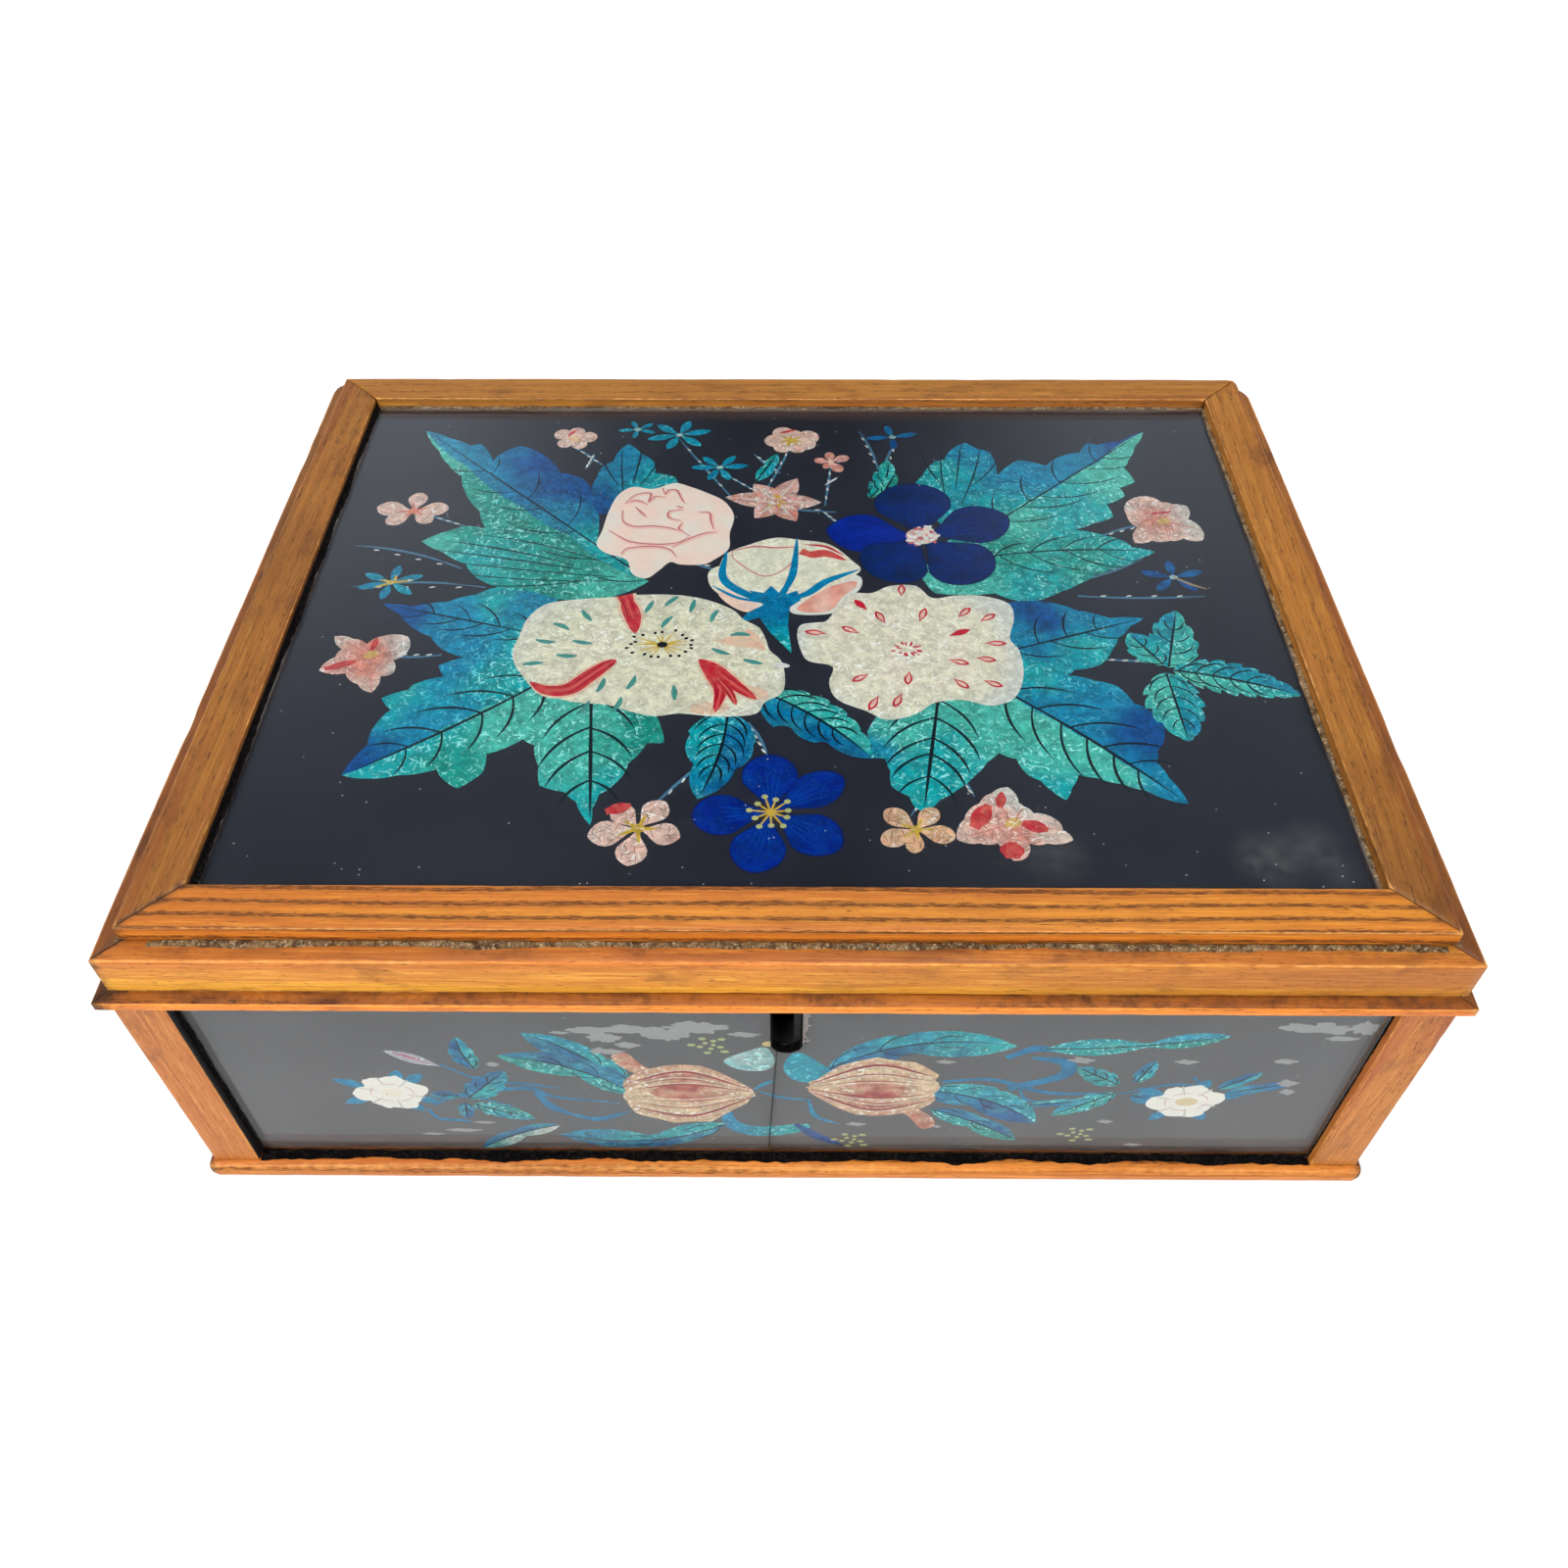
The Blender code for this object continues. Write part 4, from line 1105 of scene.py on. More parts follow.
def paint_lid(settings):
    """The lid: a bunch of flowers and leaves that fills the glass."""
    art = Painter(settings, 11)
    c = art.colours
    ground = [complex(0.6 + 128.1 * x, 94.9 * y) for x, y in ((-1, -1), (1, -1), (1, 1), (-1, 1))]
    smudges = ((108-84j, 10, 0.5), (118-80j, 8, 0.4), (60-84j, 9, 0.35), (122-88j, 7, 0.3))
    art.lay(ground, ground_tone(settings.ground, smudges))
    for start, end in LID_STEMS:
        art.line(bowed(start, end, art.vary(-0.06, 0.06)), 0.8, blend(0.3, c.stem, c.deep_blue), 0.5, 0.3,
                 0.7)
        for k in range(4):
            light = start + (end - start) * (0.2 + 0.2 * k)
            art.lay(oval(light, 0.9, 0.3, heading_of(end - start) + 12, 7), "frost", 0.6)
    blooms = (-34-17j, 31-15j, 38+31j, -35+34j)

    def shining(place):
        return 0.75 + 0.9 * max(0, 1 - min(abs(place - bloom) for bloom in blooms) / 58)

    for corners, tones in LID_MASSES:
        art.mass(corners, tones, foil=shining)
    art.fan(-39+13j, -104+24j, 6, 26)
    art.fan(-46+48j, -47+78j, 4, 24)
    art.fan(48+46j, 53+80j, 5, 30)
    for veins in LID_RIBS:
        art.ribs(*veins)
    for leaf in LID_LEAVES:
        art.leaf(*leaf, 0.5 if abs(leaf[1] - leaf[0]) < 27 else 0.6)

    art.blossom(-107+43j, ((10, 10), (88, 9), (170, 11), (222, 9), (318, 8)), "rose", "salmon", width=0.62,
                blunt=0.62)
    art.blossom(-65+80j, ((10, 7), (82, 6), (150, 7), (225, 6), (300, 6)), "rose", "peach")
    art.blossom(1+79j, ((20, 9), (75, 6), (120, 8), (180, 8), (235, 7), (300, 7), (340, 8)), "rose", "yellow")
    art.blossom(13+68j, ((25, 6), (95, 5), (170, 5), (300, 6), (240, 4)), "salmon", "rose", 0.9, width=0.6)
    art.blossom(-33-76j, ((56, 10), (132, 9), (192, 11.5), (262, 11), (-15, 10)), "rose", "yellow", 1.6, 0.9,
                0.66, 0.72)
    art.blossom(30-76j, ((52, 8), (140, 9), (206, 9), (262, 7), (-15, 9)), "peach", "yellow", 1.3, 0.9, 0.6)
    for corners, heart in LID_POINTED:
        tones = dict(salmon=(heart,), rose=(corners[0], corners[9]), frost=(corners[5],))
        art.mass(corners, tones, "frost", 0.9, -0.12)
        for corner in corners[::3]:
            art.line([heart, (heart + corner) / 2, corner], 0.5, blend(0.3, c.rose_line, c.peach), 0.4, 0.8,
                     0.2)
        art.lay(oval(heart, 2, 1.4, 20), blend(0.4, c.yellow, c.peach), 0.6)
    art.crackled(50-75j, 11, 30)
    for place, heading, long, wide in LID_MARKS:
        step = turned(heading, long)
        art.stroke(place, (-step, 0, step), wide, blots(1.6, 3, 1.3, 0.4, c.crimson, c.salmon), 0.5, 0.6, 0.4)
    lily = -3+48j
    for heading, length in ((172, 15), (128, 11), (62, 13), (-2, 13), (-58, 11), (-128, 10)):
        way = turned(heading)
        speckled = blots(1.8, 5, 1.5, 0.4, c.salmon, c.frost)
        art.lay(petal(lily, lily + way * length, 7, 0.42, 0.9, 0.5), speckled, 0.9)
        art.line([lily + way * s for s in (1, 5, length - 1)], 0.7, "frost", 0.6, 0.3, 0.1)
    art.dots(lily, 3, 10, 0.6, "yellow")
    for centre, count, length, tone, turn in LID_BLUE_FLOWERS:
        second = c.turquoise if tone == "azure" else c.azure
        for k in range(count):
            way = turned(turn + 360 * k / count + art.vary(-10, 10))
            way = complex(way.real, way.imag * 0.8)
            art.lay(petal(centre, centre + way * length, length * 0.3, 0.6, 0.7, 0.4),
                    blend(art.vary(-0.1, 0.5), art.tone_of(tone), second), 0.9)
        art.lay(oval(centre, 1.1, 0.9), blend(0.5, c.turquoise, c.frost), 0.8)
    for tip in (-111+9j, -110+12j, -101+12j, -106+14j):
        art.line([-106+11j, (-106+11j + tip) / 2, tip], 0.9, "yellow", 0.4, 0.8, 0.5)
    art.line([105+14j, 109+11j, 113+9j], 0.9, blend(0.4, c.yellow, c.deep_blue), 0.3, 0.6, 0.4)

    paint_rose(art, -35+34j, 19.5)
    anemone = ((96, 26, 22, "navy", 0.5), (172, 27, 17, "royal", 0.7), (22, 27, 17, "navy", 0.62),
               (-128, 22, 20, "navy", 0.5), (-48, 24, 20, "navy", 0.5))
    paint_broad_petals(art, 38+31j, anemone, "royal", 0.45)
    art.lay(oval(38+32j, 4.6, 3.6), blots(1, 5, 1.5, 0.2, c.rose_line, c.frost), 0.5)
    for k in range(60):
        step = turned(art.vary(0, 360), 4.8 * art.chance.random() ** 0.7)
        tone = art.chance.choice(("frost", "frost", "rose", "rose_line"))
        art.lay(oval(38+32j + step, 0.9, 0.6, 40 * k, 7), tone, 0.4)
    paint_bud(art, -1+0j)
    paint_cream_flower(art, -34.5-17.5j, 34.5, 22.8)
    paint_white_flower(art, 31.5-15.5j)
    gentian = -3-71j
    petals = ((92, 18, 13, "royal", 0.5), (34, 20, 10.5, "royal", 0.55), (-34, 19, 12, "royal", 0.6),
              (-104, 18, 12.5, "royal", 0.55), (184, 18, 12, "royal", 0.5))
    paint_broad_petals(art, gentian, petals, "deep_blue", 0.6)
    for k in range(11):
        tip = gentian + turned(33 * k + 8, 5 if k % 2 else 4)
        art.line([gentian, (gentian + tip) / 2, tip], 0.55, "yellow", 0.2, 0.8, 0.5)
        art.lay(oval(tip, 0.8, 0.7, count=8), blend(0.3, c.yellow, c.pale_green))
    art.lay(oval(-1-21.5j, 2.2, 0.9, -10), (0.8, 0.8, 0.78), 0.3)
    for _ in range(150):
        place = complex(art.vary(-126, 126), -92 + 184 * art.chance.random() ** 1.8)
        art.lay(oval(place, art.vary(0.12, 0.3), 0.17, art.vary(0, 180), 5), (0.5, 0.5, 0.5))
    return art.patches


def paint_tulip(art, base, tip, deep, curl):
    """A striped tulip lying on its side, with one petal curled out to the side that curl gives."""
    c = art.colours
    axis = tip - base
    across = unit(axis) * 1j * curl
    red = dim(blend(0.2, c.crimson, c.salmon), 0.8)
    straw = blend(0.3, c.peach, c.cream)

    def striped(share, layer):
        def tone(place):
            local = (place - base) / axis
            swell = max(0.12, math.sin(math.pi * min(0.97, max(0.03, local.real))) ** 0.6)
            band = 0.5 + 0.5 * math.sin(local.imag / swell * 42 + 3 * noise.noise(
                                            Vector((local.real * 3, local.imag * 4, layer))))
            flush = 1 - abs(local - complex(0.55, 0.1 * curl)) / 0.28
            return blend(band * 0.45 + max(0, flush) * 0.5 + cloudy(place, 2.5, layer) * 0.6 - 0.35 + share,
                         straw, red)
        return tone

    curled = [base + axis * x + across * y for x,
              y in ((0.62, 9), (0.78, 13), (0.9, 19.5), (1, 18), (0.97, 14), (0.86, 10), (0.74, 7))]
    art.lay(closed_through(curled), striped(0.35, 2), 0.7)
    frilled = petal(base + axis * 0.02 - across, base + axis * 0.96 - across * 6, deep * 0.78, 0.5, 0.55, 0.5)
    art.lay([p + turned(137 * k, 0.5) for k, p in enumerate(frilled)], striped(0, 3), 0.7)
    art.lay(petal(base + axis * 0.02 + across, base + axis * 0.97 + across * 5, deep * 0.8, 0.5, 0.55, 0.5),
            striped(0.2, 4), 0.7)
    art.lay(petal(base, base + axis * 0.99 - across, deep * 0.62, 0.6, 0.55, 0.4), striped(-0.1, 5), 0.7)
    art.lay(petal(base + axis * 0.14 + across, base + axis * 0.8 + across, deep * 0.46, 0.5, 0.95, 0.3),
            striped(0.25, 6), 0.7)
    for x, y, wide in ((0.5, 10.5, 1.2), (0.52, 7.2, 0.5), (0.5, 4.6, 0.9), (0.5, -3.4, 0.5),
                       (0.5, -6.6, 0.6), (0.5, -10.6, 1.4)):
        path = through([base + axis * 0.05 + across * y * 0.2, base + axis * x + across * y,
                        base + axis * 0.93 + across * y * 0.55])
        art.line(path, wide * 0.7, dim(red, 0.75), 0.4, 0.5, 0.1)
        art.line([p + across * 0.7 for p in path], 0.45, blend(0.4, straw, c.frost), 0.6, 0.5, 0.1)


def paint_garden_rose(art, centre, heart, seed):
    """A small white rose with thin lines and blue sepals."""
    c = art.colours
    for k, (heading, long) in enumerate(((150, 15), (205, 14), (235, 13), (75, 13), (50, 14), (20, 15),
                                         (-60, 12), (-25, 12), (175, 12))):
        if (k + seed) % 3:
            way = complex(turned(heading).real, turned(heading).imag * 0.85)
            art.lay(petal(centre + way * 6, centre + way * long, 3.4, 0.5, 0.8, 0.5), "azure", 0.7)
    white = blend(0.5, c.white, (0.93, 0.93, 0.92))
    outline = rosette(centre,
                      ((15, 9.2, 42), (75, 8.2, 42), (130, 8.2, 42), (185, 9.8, 42), (245, 7.8, 42),
                       (300, 8.4, 42)),
                      7.2, 0.04, seed, 90)
    art.lay(outline, blots(2.2, seed, 0.5, 0, white, dim(white, 0.8)), 0.05)
    for heading in (45, 102, 158, 214, 272, 338):
        art.line([centre + turned(heading + 6, reach) for reach in (3.2, 5.5, 7.8)], 0.5, dim(white, 0.62), 0,
                 0.3, 0.9)
    for k in range(5):
        crown = [centre + turned(72 * k + 20 * seed + a) * complex(5.2, 0) for a in range(-30, 31, 12)]
        art.line([complex(p.real, centre.imag + (p.imag - centre.imag) * 0.8) for p in crown], 0.35,
                 blend(0.45, c.rose_line, c.white))
    art.lay(oval(centre, 2.8, 2), blend(0.5, art.tone_of(heart), c.white))


# The front's stems: the points of each and its width
FRONT_STEMS = (
    ((-86+29j, -78+34j, -62+37j, -56+33j, -40+30j), 1.6),
    ((-70+40j, -62+39j, -54+37j), 1.2),
    ((-88+27j, -86+22j, -80+21j, -78+20j), 1.3),
    ((-60+35j, -57+28j, -52+24j), 2.4),
    ((-52+24j, -46+22j, -38+26j), 2.2),
    ((-80+33j, -74+32j, -66+28j), 0.9),
    ((38+41j, 50+42j, 64+36j, 82+36j), 1.6),
    ((54+38j, 66+44j, 66+50j, 58+52j), 3.6),
    ((52+52j, 58+56j, 64+55j), 2.6),
    ((82+36j, 92+40j, 99+40j), 1),
    ((56+40j, 60+32j, 72+33j), 1),
    ((97+44j, 100+40j), 1),
    ((-81+48j, -74+42j, -68+41j), 0.9))

# The front's leaves, as leaf() takes them
FRONT_LEAVES = (
    (-38+38j, -60+62j, (0.35, 6, 0.45, 3), (0.3, 5, 0.4, 4), BLUE, MID, -0.08, 3),
    (-36+34j, -67+52j, (0.4, 3, 0.44, 2.6), (0.3, 6, 0.4, 5.6), SEA, BLUE, -0.1, 3),
    (-14+20j, -57+14j, (0.5, 3.4, 0.55, 3.2), (0.4, 3.6, 0.5, 3.2), BLUE, MID, 0.14, 2),
    (-56+19j, -78+6j, (0.4, 2.2, 0.44, 2), (0.4, 2.4, 0.44, 2.2), ("frost", "turquoise"), BLUE, -0.06, 0),
    (-77+32j, -66+45j, teeth(4, 4.2), teeth(4, 4.6), BLUE, MID, 0, 3),
    (-79+33j, -86+34j, teeth(3, 2.2), None, MID, BLUE, 0, 2),
    (-76+29j, -62+22j, teeth(5, 3.4), None, SEA, MID, 0, 3),
    (-78+30j, -79+22j, (0.4, 2.2, 0.45, 2), None, BLUE, BLUE, 0, 2),
    (-73+46j, -75+60j, teeth(4, 3.2), teeth(4, 3), BLUE, MID, 0.06, 3),
    (10+46j, 54+57j, (0.4, 5.4, 0.5, 5), (0.4, 4.4, 0.5, 4.2), ("azure", "turquoise"),
     ("deep_blue", "turquoise"), 0.14, 3),
    (33+37j, 63+21j, (0.45, 6.4, 0.55, 6), (0.35, 5, 0.44, 4), MID, BLUE, 0.1, 4),
    (36+28j, 59+12j, (0.45, 3.2, 0.5, 3), None, BLUE, SEA, 0.04, 2),
    (60+56j, 102+62j, (0.5, 1.8, 0.6, 1.6), (0.5, 1.6, 0.6, 1.4), MID, SEA, -0.04, 0),
    (80+40j, 69+48j, teeth(4, 3.4), teeth(4, 3.2), SEA, MID, 0, 3),
    (84+41j, 87+51j, teeth(3, 2.4), None, BLUE, MID, 0, 2),
    (80+36j, 66+25j, teeth(4, 3.4), None, SEA, MID, 0, 3),
    (84+35j, 92+32j, (0.35, 3, 0.4, 2.8), None, BLUE, BLUE, 0, 0),
    (60+30j, 72+32j, (0.4, 1.6, 0.45, 1.5), None, MID, BLUE, 0, 0),
    (104+38j, 113+46j, (0.5, 2, 0.6, 1.8), None, BLUE, MID, 0, 0),
    (106+36j, 121+41j, (0.5, 2, 0.6, 1.8), None, BLUE, BLUE, 0, 0))

# Where the front's paint has flaked off: place, half width and half height
FRONT_LOSSES = (
    (-51+62j, 2.5, 0.7), (-44+63j, 6, 1.8), (-41.5+60j, 4.5, 2.2), (-35+63.6j, 6.5, 2), (-36+56.8j, 3, 1.6),
    (-41.5+54j, 4.5, 1.4), (-27+61.5j, 6, 3), (-20+64.5j, 8, 2.8), (-12+66j, 9, 2.4), (-6+66j, 4, 2.2),
    (-9+61.5j, 4, 1.2), (-68.4+48j, 1.6, 1.3), (-81+16j, 5, 1), (-89+14j, 3, 0.7), (-75+20j, 3, 0.7),
    (116+65.5j, 5, 2), (123.5+65j, 7, 2.2), (131+65.5j, 4, 3), (127+61j, 4, 1.2), (69.7+51j, 3.4, 1.4),
    (117+51j, 3, 1.3), (120+41j, 2.6, 1.8), (121+37j, 2, 1.5), (94+50.5j, 3, 1.2), (80+22j, 2, 1),
    (89+10j, 2.6, 0.8), (38.4+19j, 1, 1), (18+20j, 2.6, 1), (38+50j, 2.4, 1))


def paint_front(settings, half_width, foot, top, notch):
    """The front pane: two tulips meeting at the keyhole, with white roses and long leaves."""
    # Its colours are dimmed to 0.88 as painted shade.
    art = Painter(settings, 23, 0.88)
    c = art.colours
    middle, width, notch_foot = notch
    arch = [complex(middle, notch_foot + width / 2) + turned(-a, width / 2) for a in range(0, 181, 15)]
    ground = [complex(-half_width, foot), complex(half_width, foot), complex(half_width, top),
              complex(middle + width / 2, top), *arch, complex(middle - width / 2, top),
              complex(-half_width, top)]
    # The ground is grey: black paint with a painted reflection of the glass.
    art.lay(ground, ground_tone(settings.wall_ground_haze, ()))
    for points, wide in FRONT_STEMS:
        art.stroke(0, points, wide, blend(0.25, c.azure, c.deep_blue), 0.7, 0.8, 0.3)
    for leaf in FRONT_LEAVES:
        art.leaf(*leaf, 0.4, 0.9, 0.45)
    art.lay(petal(-81+47j, -93+54j, 4, 0.5, 0.8, 0.6), blend(0.5, c.azure, c.rose), 0.4)
    art.line([-83+48j, -88+51.5j, -92+53.5j], 0.6, "crimson", 0.3)
    art.body(0, (-14+50j, -9+54j, -4+56j, -2+50j, -4+46j, -10+46j), blots(2, 0, 1, 0, c.turquoise, c.frost),
             0.6)
    art.body(0, (3+54j, 8+50j, 12+44j, 8+40j, 2+42j, 0+48j), blots(3, 0, 1, 0, c.azure, c.turquoise), 0.6)
    art.stroke(0, (-14+30j, -13+20j, -6+16j, 4+18j, 6+20j), 5,
               lambda p: blend((p.real + 12) / 10, c.azure, c.turquoise), 0.8, 0.5, 0.1)
    art.stroke(0, (-6+36j, 0+33j, 7+32j), 1, "azure", 0.6, 0.6, 0.3)
    art.stroke(0, (6+32j, 8+24j, 14+20j), 1.4, "azure", 0.8, 0.6, 0.1)
    art.stroke(0, (3+20j, 8+14j, 15+9j), 3, "deep_blue", 0.8, 0.5, 0.1)
    art.stroke(0, (-7+37j, -4+40j, -2+41j), 1.4, "azure", 0.6, 0.6, 0.3)
    paint_tulip(art, -6.5+35j, -39.5+34j, 27, -1)
    paint_tulip(art, 5.2+38j, 38+37.5j, 26, -1)
    paint_garden_rose(art, -95+34.5j, "white", 1)
    paint_garden_rose(art, 98+32j, "yellow", 2)
    for place in (-17+57j, 17+12j, 74+15.5j):
        for k in range(11):
            spot = place + turned(140 * k, 0.9 + 0.36 * k)
            art.lay(oval(spot, 0.6 + 0.05 * k, 0.6, count=8), blend(0.35, c.yellow, c.pale_green))
    flaked = (0.33, 0.33, 0.33)
    for spot, wide, high in FRONT_LOSSES:
        lobes = ((0, 1, 50), (60, 0.8, 40), (110, 1, 40), (170, 0.95, 50), (230, 0.85, 40), (290, 1, 45))
        kept = []
        for p in rosette(0j, lobes, 0.6, 0.22, spot.real, 40):
            x = max(-half_width + 0.3, min(half_width - 0.3, spot.real + p.real * wide))
            kept.append(complex(x, min(top - 0.3, spot.imag + p.imag * high)))
        if all(abs(p.real - middle) > width / 2 + 0.4 for p in kept):
            art.lay(kept, blots(2, 4, 0.5, 0, flaked, dim(flaked, 0.7)), 0)
    for _ in range(60):
        place = complex(art.vary(-130, 130), art.vary(8, 76))
        if abs(place.real - middle) > 6:
            art.lay(oval(place, art.vary(0.15, 0.4), 0.2, art.vary(0, 180), 6), dim(flaked, 0.8))
    edge = complex(middle, notch_foot + width / 2)
    rim = [edge + turned(a, width / 2 + 0.05) for a in range(-130, 1, 13)]
    rim += [edge + complex(width / 2 + 0.05, y) for y in range(2, 20, 2)]
    rim = [p for p in rim if p.imag < top - 0.5]
    chipped = [p + unit(complex((p - edge).real, min(0, (p - edge).imag))) * art.vary(0.4, 1.5) for p in rim]
    art.lay(rim + chipped[::-1], blots(0.9, 4, 1.6, 0.3, (0.22, 0.14, 0.13), (0.62, 0.56, 0.54)))
    for k in range(16):
        spot = art.chance.choice(chipped) + turned(art.vary(0, 360), 0.5)
        size = art.vary(0.2, 0.7)
        art.lay(oval(spot, size, 0.3, 30 * k, 6),
                art.chance.choice((BLACK, (0.66, 0.62, 0.6), (0.4, 0.3, 0.28))))
    art.lay(oval(edge + complex(-width / 2 - 0.6, -2.2), 1.5, 1.1, 10, 12), blend(0.3, c.yellow, c.cream))
    return art.patches


def paint_side(settings, half_width, foot, top, seed, rich):
    """A side pane: a small spray of a rose with leaves, or on the back leaves alone."""
    # Its colours are dimmed to 0.74 as painted shade.
    art = Painter(settings, seed, 0.74)
    ground = [complex(-half_width, foot), complex(half_width, foot), complex(half_width, top),
              complex(-half_width, top)]
    # The ground is grey: black paint with a painted reflection of the glass.
    art.lay(ground, ground_tone(settings.wall_ground_haze, ()))
    for side in (-1, 1):
        path = [complex(side * x, y) for x, y in ((4, 38), (22, 33), (44, 40), (66, 34))]
        art.line(through(path), 1.4, "azure", 0.6, 0.7, 0.2)
        for base, tip, width in (((8, 40), (34, 56), 7), ((8, 34), (36, 18), 7), ((34, 37), (52, 50), 4),
                                 ((40, 38), (56, 24), 4), ((58, 36), (72, 44), 3.4),
                                 ((62, 34), (78, 30), 3.4)):
            start, end = complex(side * base[0], base[1]), complex(side * tip[0], tip[1])
            tones = art.chance.sample((BLUE, SEA, MID), 2)
            art.leaf(start, end, teeth(5, width), teeth(5, width * 0.9), *tones, 0.08 * side, 4, 0.5, 0.9,
                     0.4)
        if rich:
            art.blossom(complex(side * 80, 32), [(20 + 72 * k, 7.5) for k in range(5)], "rose", "yellow",
                        width=0.7)
            blue = [(40 + 72 * k, 5.5) for k in range(5)]
            art.blossom(complex(side * 52, 54), blue, "azure", "turquoise", 0.8, width=0.5)
    if rich:
        paint_rose(art, 0+37j, 14)
    else:
        art.blossom(0+37j, [(15 + 60 * k, 11) for k in range(6)], "azure", "yellow", width=0.5)
    return art.patches


# Settings that a user would change

def swatch(name, description, red, green, blue):
    """A colour that a user can change, given as a screen colour."""
    return FloatVectorProperty(name=name, description=description, subtype="COLOR", size=3, min=0, max=1,
                               default=srgb(red, green, blue))


class WoodSettings(PropertyGroup):
    """Colours and wear of the wood."""
    light_wood: swatch("Light wood", "Golden varnished wood", 210, 136, 54)
    warm_wood: swatch("Warm wood", "Redder streaks along the grain", 190, 108, 46)
    ring_wood: swatch("Growth rings", "Porous line at the start of each ring", 112, 58, 22)
    stained_wood: swatch("Stained wood", "Places where the varnish has darkened", 146, 82, 30)
    pore_wood: swatch("Pores", "Short dark pores along the grain", 70, 34, 14)
    # Also the colour of the painted highlight along the arrises.
    bare_wood: swatch("Rubbed wood", "Edges where the varnish is rubbed away", 232, 168, 92)
    grime: swatch("Grime", "Dirt in the joints", 40, 24, 15)
    board_light: swatch("Board wood", "Boards inside the box", 150, 106, 70)
    board_dark: swatch("Board grain", "Darker bands of the inside boards", 112, 72, 44)
    ring_spacing: FloatProperty(name="Ring spacing",
                                description="From one growth ring to the next, in millimetres", default=2.5,
                                min=0.5, max=8)
    waviness: FloatProperty(name="Waviness", description="How far a hand-planed face wanders, in millimetres",
                            default=0.14, min=0, max=0.5)
    arris_wear: FloatProperty(name="Arris wear",
                              description="How far the edges are rubbed back, in millimetres", default=0.14,
                              min=0, max=0.6)
    seed: IntProperty(name="Seed", description="Changes the grain and the wear of every piece", default=7)


class PaintSettings(PropertyGroup):
    """Colours of the paint behind the glass."""
    ground: swatch("Lid ground", "Black paint round the flowers of the lid", 40, 42, 52)
    # Black paint greyed by a painted reflection of the glass on the wall panes.
    wall_ground_haze: swatch("Wall ground", "Greyed black paint of the wall panes", 88, 88, 90)
    deep_blue: swatch("Deep blue", "Shaded halves of the leaves", 0, 80, 154)
    azure: swatch("Azure", "Blue leaves, sepals and small flowers", 0, 138, 184)
    turquoise: swatch("Turquoise", "Leaves over bright foil", 0, 178, 186)
    green: swatch("Green", "Leaf green", 14, 158, 144)
    pale_green: swatch("Pale green", "Palest leaves", 84, 206, 188)
    cream: swatch("Cream", "Large cream flower and bud", 238, 238, 206)
    white: swatch("White", "White flowers", 246, 236, 218)
    crimson: swatch("Crimson", "Flames and marks on the petals", 196, 30, 54)
    salmon: swatch("Salmon", "Tulips and warm petals", 226, 132, 112)
    rose: swatch("Rose", "Pink rose and small flowers", 246, 212, 196)
    rose_line: swatch("Rose line", "Edges of the rose petals", 204, 104, 112)
    peach: swatch("Peach", "Pale warm petals", 240, 198, 150)
    navy: swatch("Navy", "Dark blue flower", 4, 46, 104)
    royal: swatch("Royal blue", "Bright blue flower", 0, 44, 162)
    teal: swatch("Teal", "Dashes on the cream flower", 72, 150, 144)
    yellow: swatch("Yellow", "Stamens and dots", 206, 172, 62)
    vein: swatch("Veins", "Leaf veins", 12, 30, 38)
    frost: swatch("Frost", "Whitish petal edges and leaf tips", 228, 230, 222)
    stem: swatch("Stems", "Thin stems", 90, 140, 160)
    spacing: FloatProperty(name="Mesh spacing", description="Grid of the painted sheets, in millimetres",
                           default=2, min=0.8, max=6)


class StageSettings(PropertyGroup):
    """Floor and light."""
    floor: swatch("Floor", "Plain floor", 160, 160, 160)
    key_power: FloatProperty(name="Key light", description="Large soft light at the front left", default=28,
                             min=0, unit="POWER")
    fill_power: FloatProperty(name="Fill light", description="Soft light at the front right", default=14,
                              min=0, unit="POWER")
    top_power: FloatProperty(name="Top light", description="Large soft light above the box", default=13.5,
                             min=0, unit="POWER")
    back_power: FloatProperty(name="Back light", description="Soft light behind the box", default=6,
                              min=0, unit="POWER")
    show_floor: BoolProperty(name="Floor in view", description="Whether the floor is rendered", default=True)


# Operators

class TRINKETBOX_OT_finishes(Operator):
    """Makes the finishes that the pieces use"""
    bl_idname = "trinketbox.finishes"
    bl_label = "Make Finishes"

    def execute(self, context):
        wood = context.scene.trinketbox_wood
        honey_wood(wood)
        board_wood(wood)
        clear_glass("lid glass", 2, 1.5)
        clear_glass("front glass", 1, 1.22)
        clear_glass("side glass", 0, 1.22)
        painted_foil()
        settled_dust()
        return {"FINISHED"}


class TRINKETBOX_OT_boards(Operator):
    """Finishes the boards inside the box and the glass panes"""
    bl_idname = "trinketbox.boards"
    bl_label = "Finish Boards and Glass"

    def execute(self, context):
        for name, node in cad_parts.items():
            if name.startswith("glass") or name == "lid_glass":
                way = {"lid_glass": "lid", "glass_left": "side", "glass_right": "side"}.get(name, "front")
                finish = bpy.data.materials[f"{way} glass"]
            elif name.startswith("wall") or name == "lid_board":
                finish = bpy.data.materials["inner wood"]
            else:
                continue
            for k in range(len(node.material_slots)):
                node.material_slots[k].material = finish
        return {"FINISHED"}


def square(width, low, high):
    return [(0, low), (width, low), (width, high), (0, high)]


def sloped(width, low, high):
    return [(0, low), (width, low), (width, high), (3.4 * MM, high), (0, high - 0.7 * MM)]


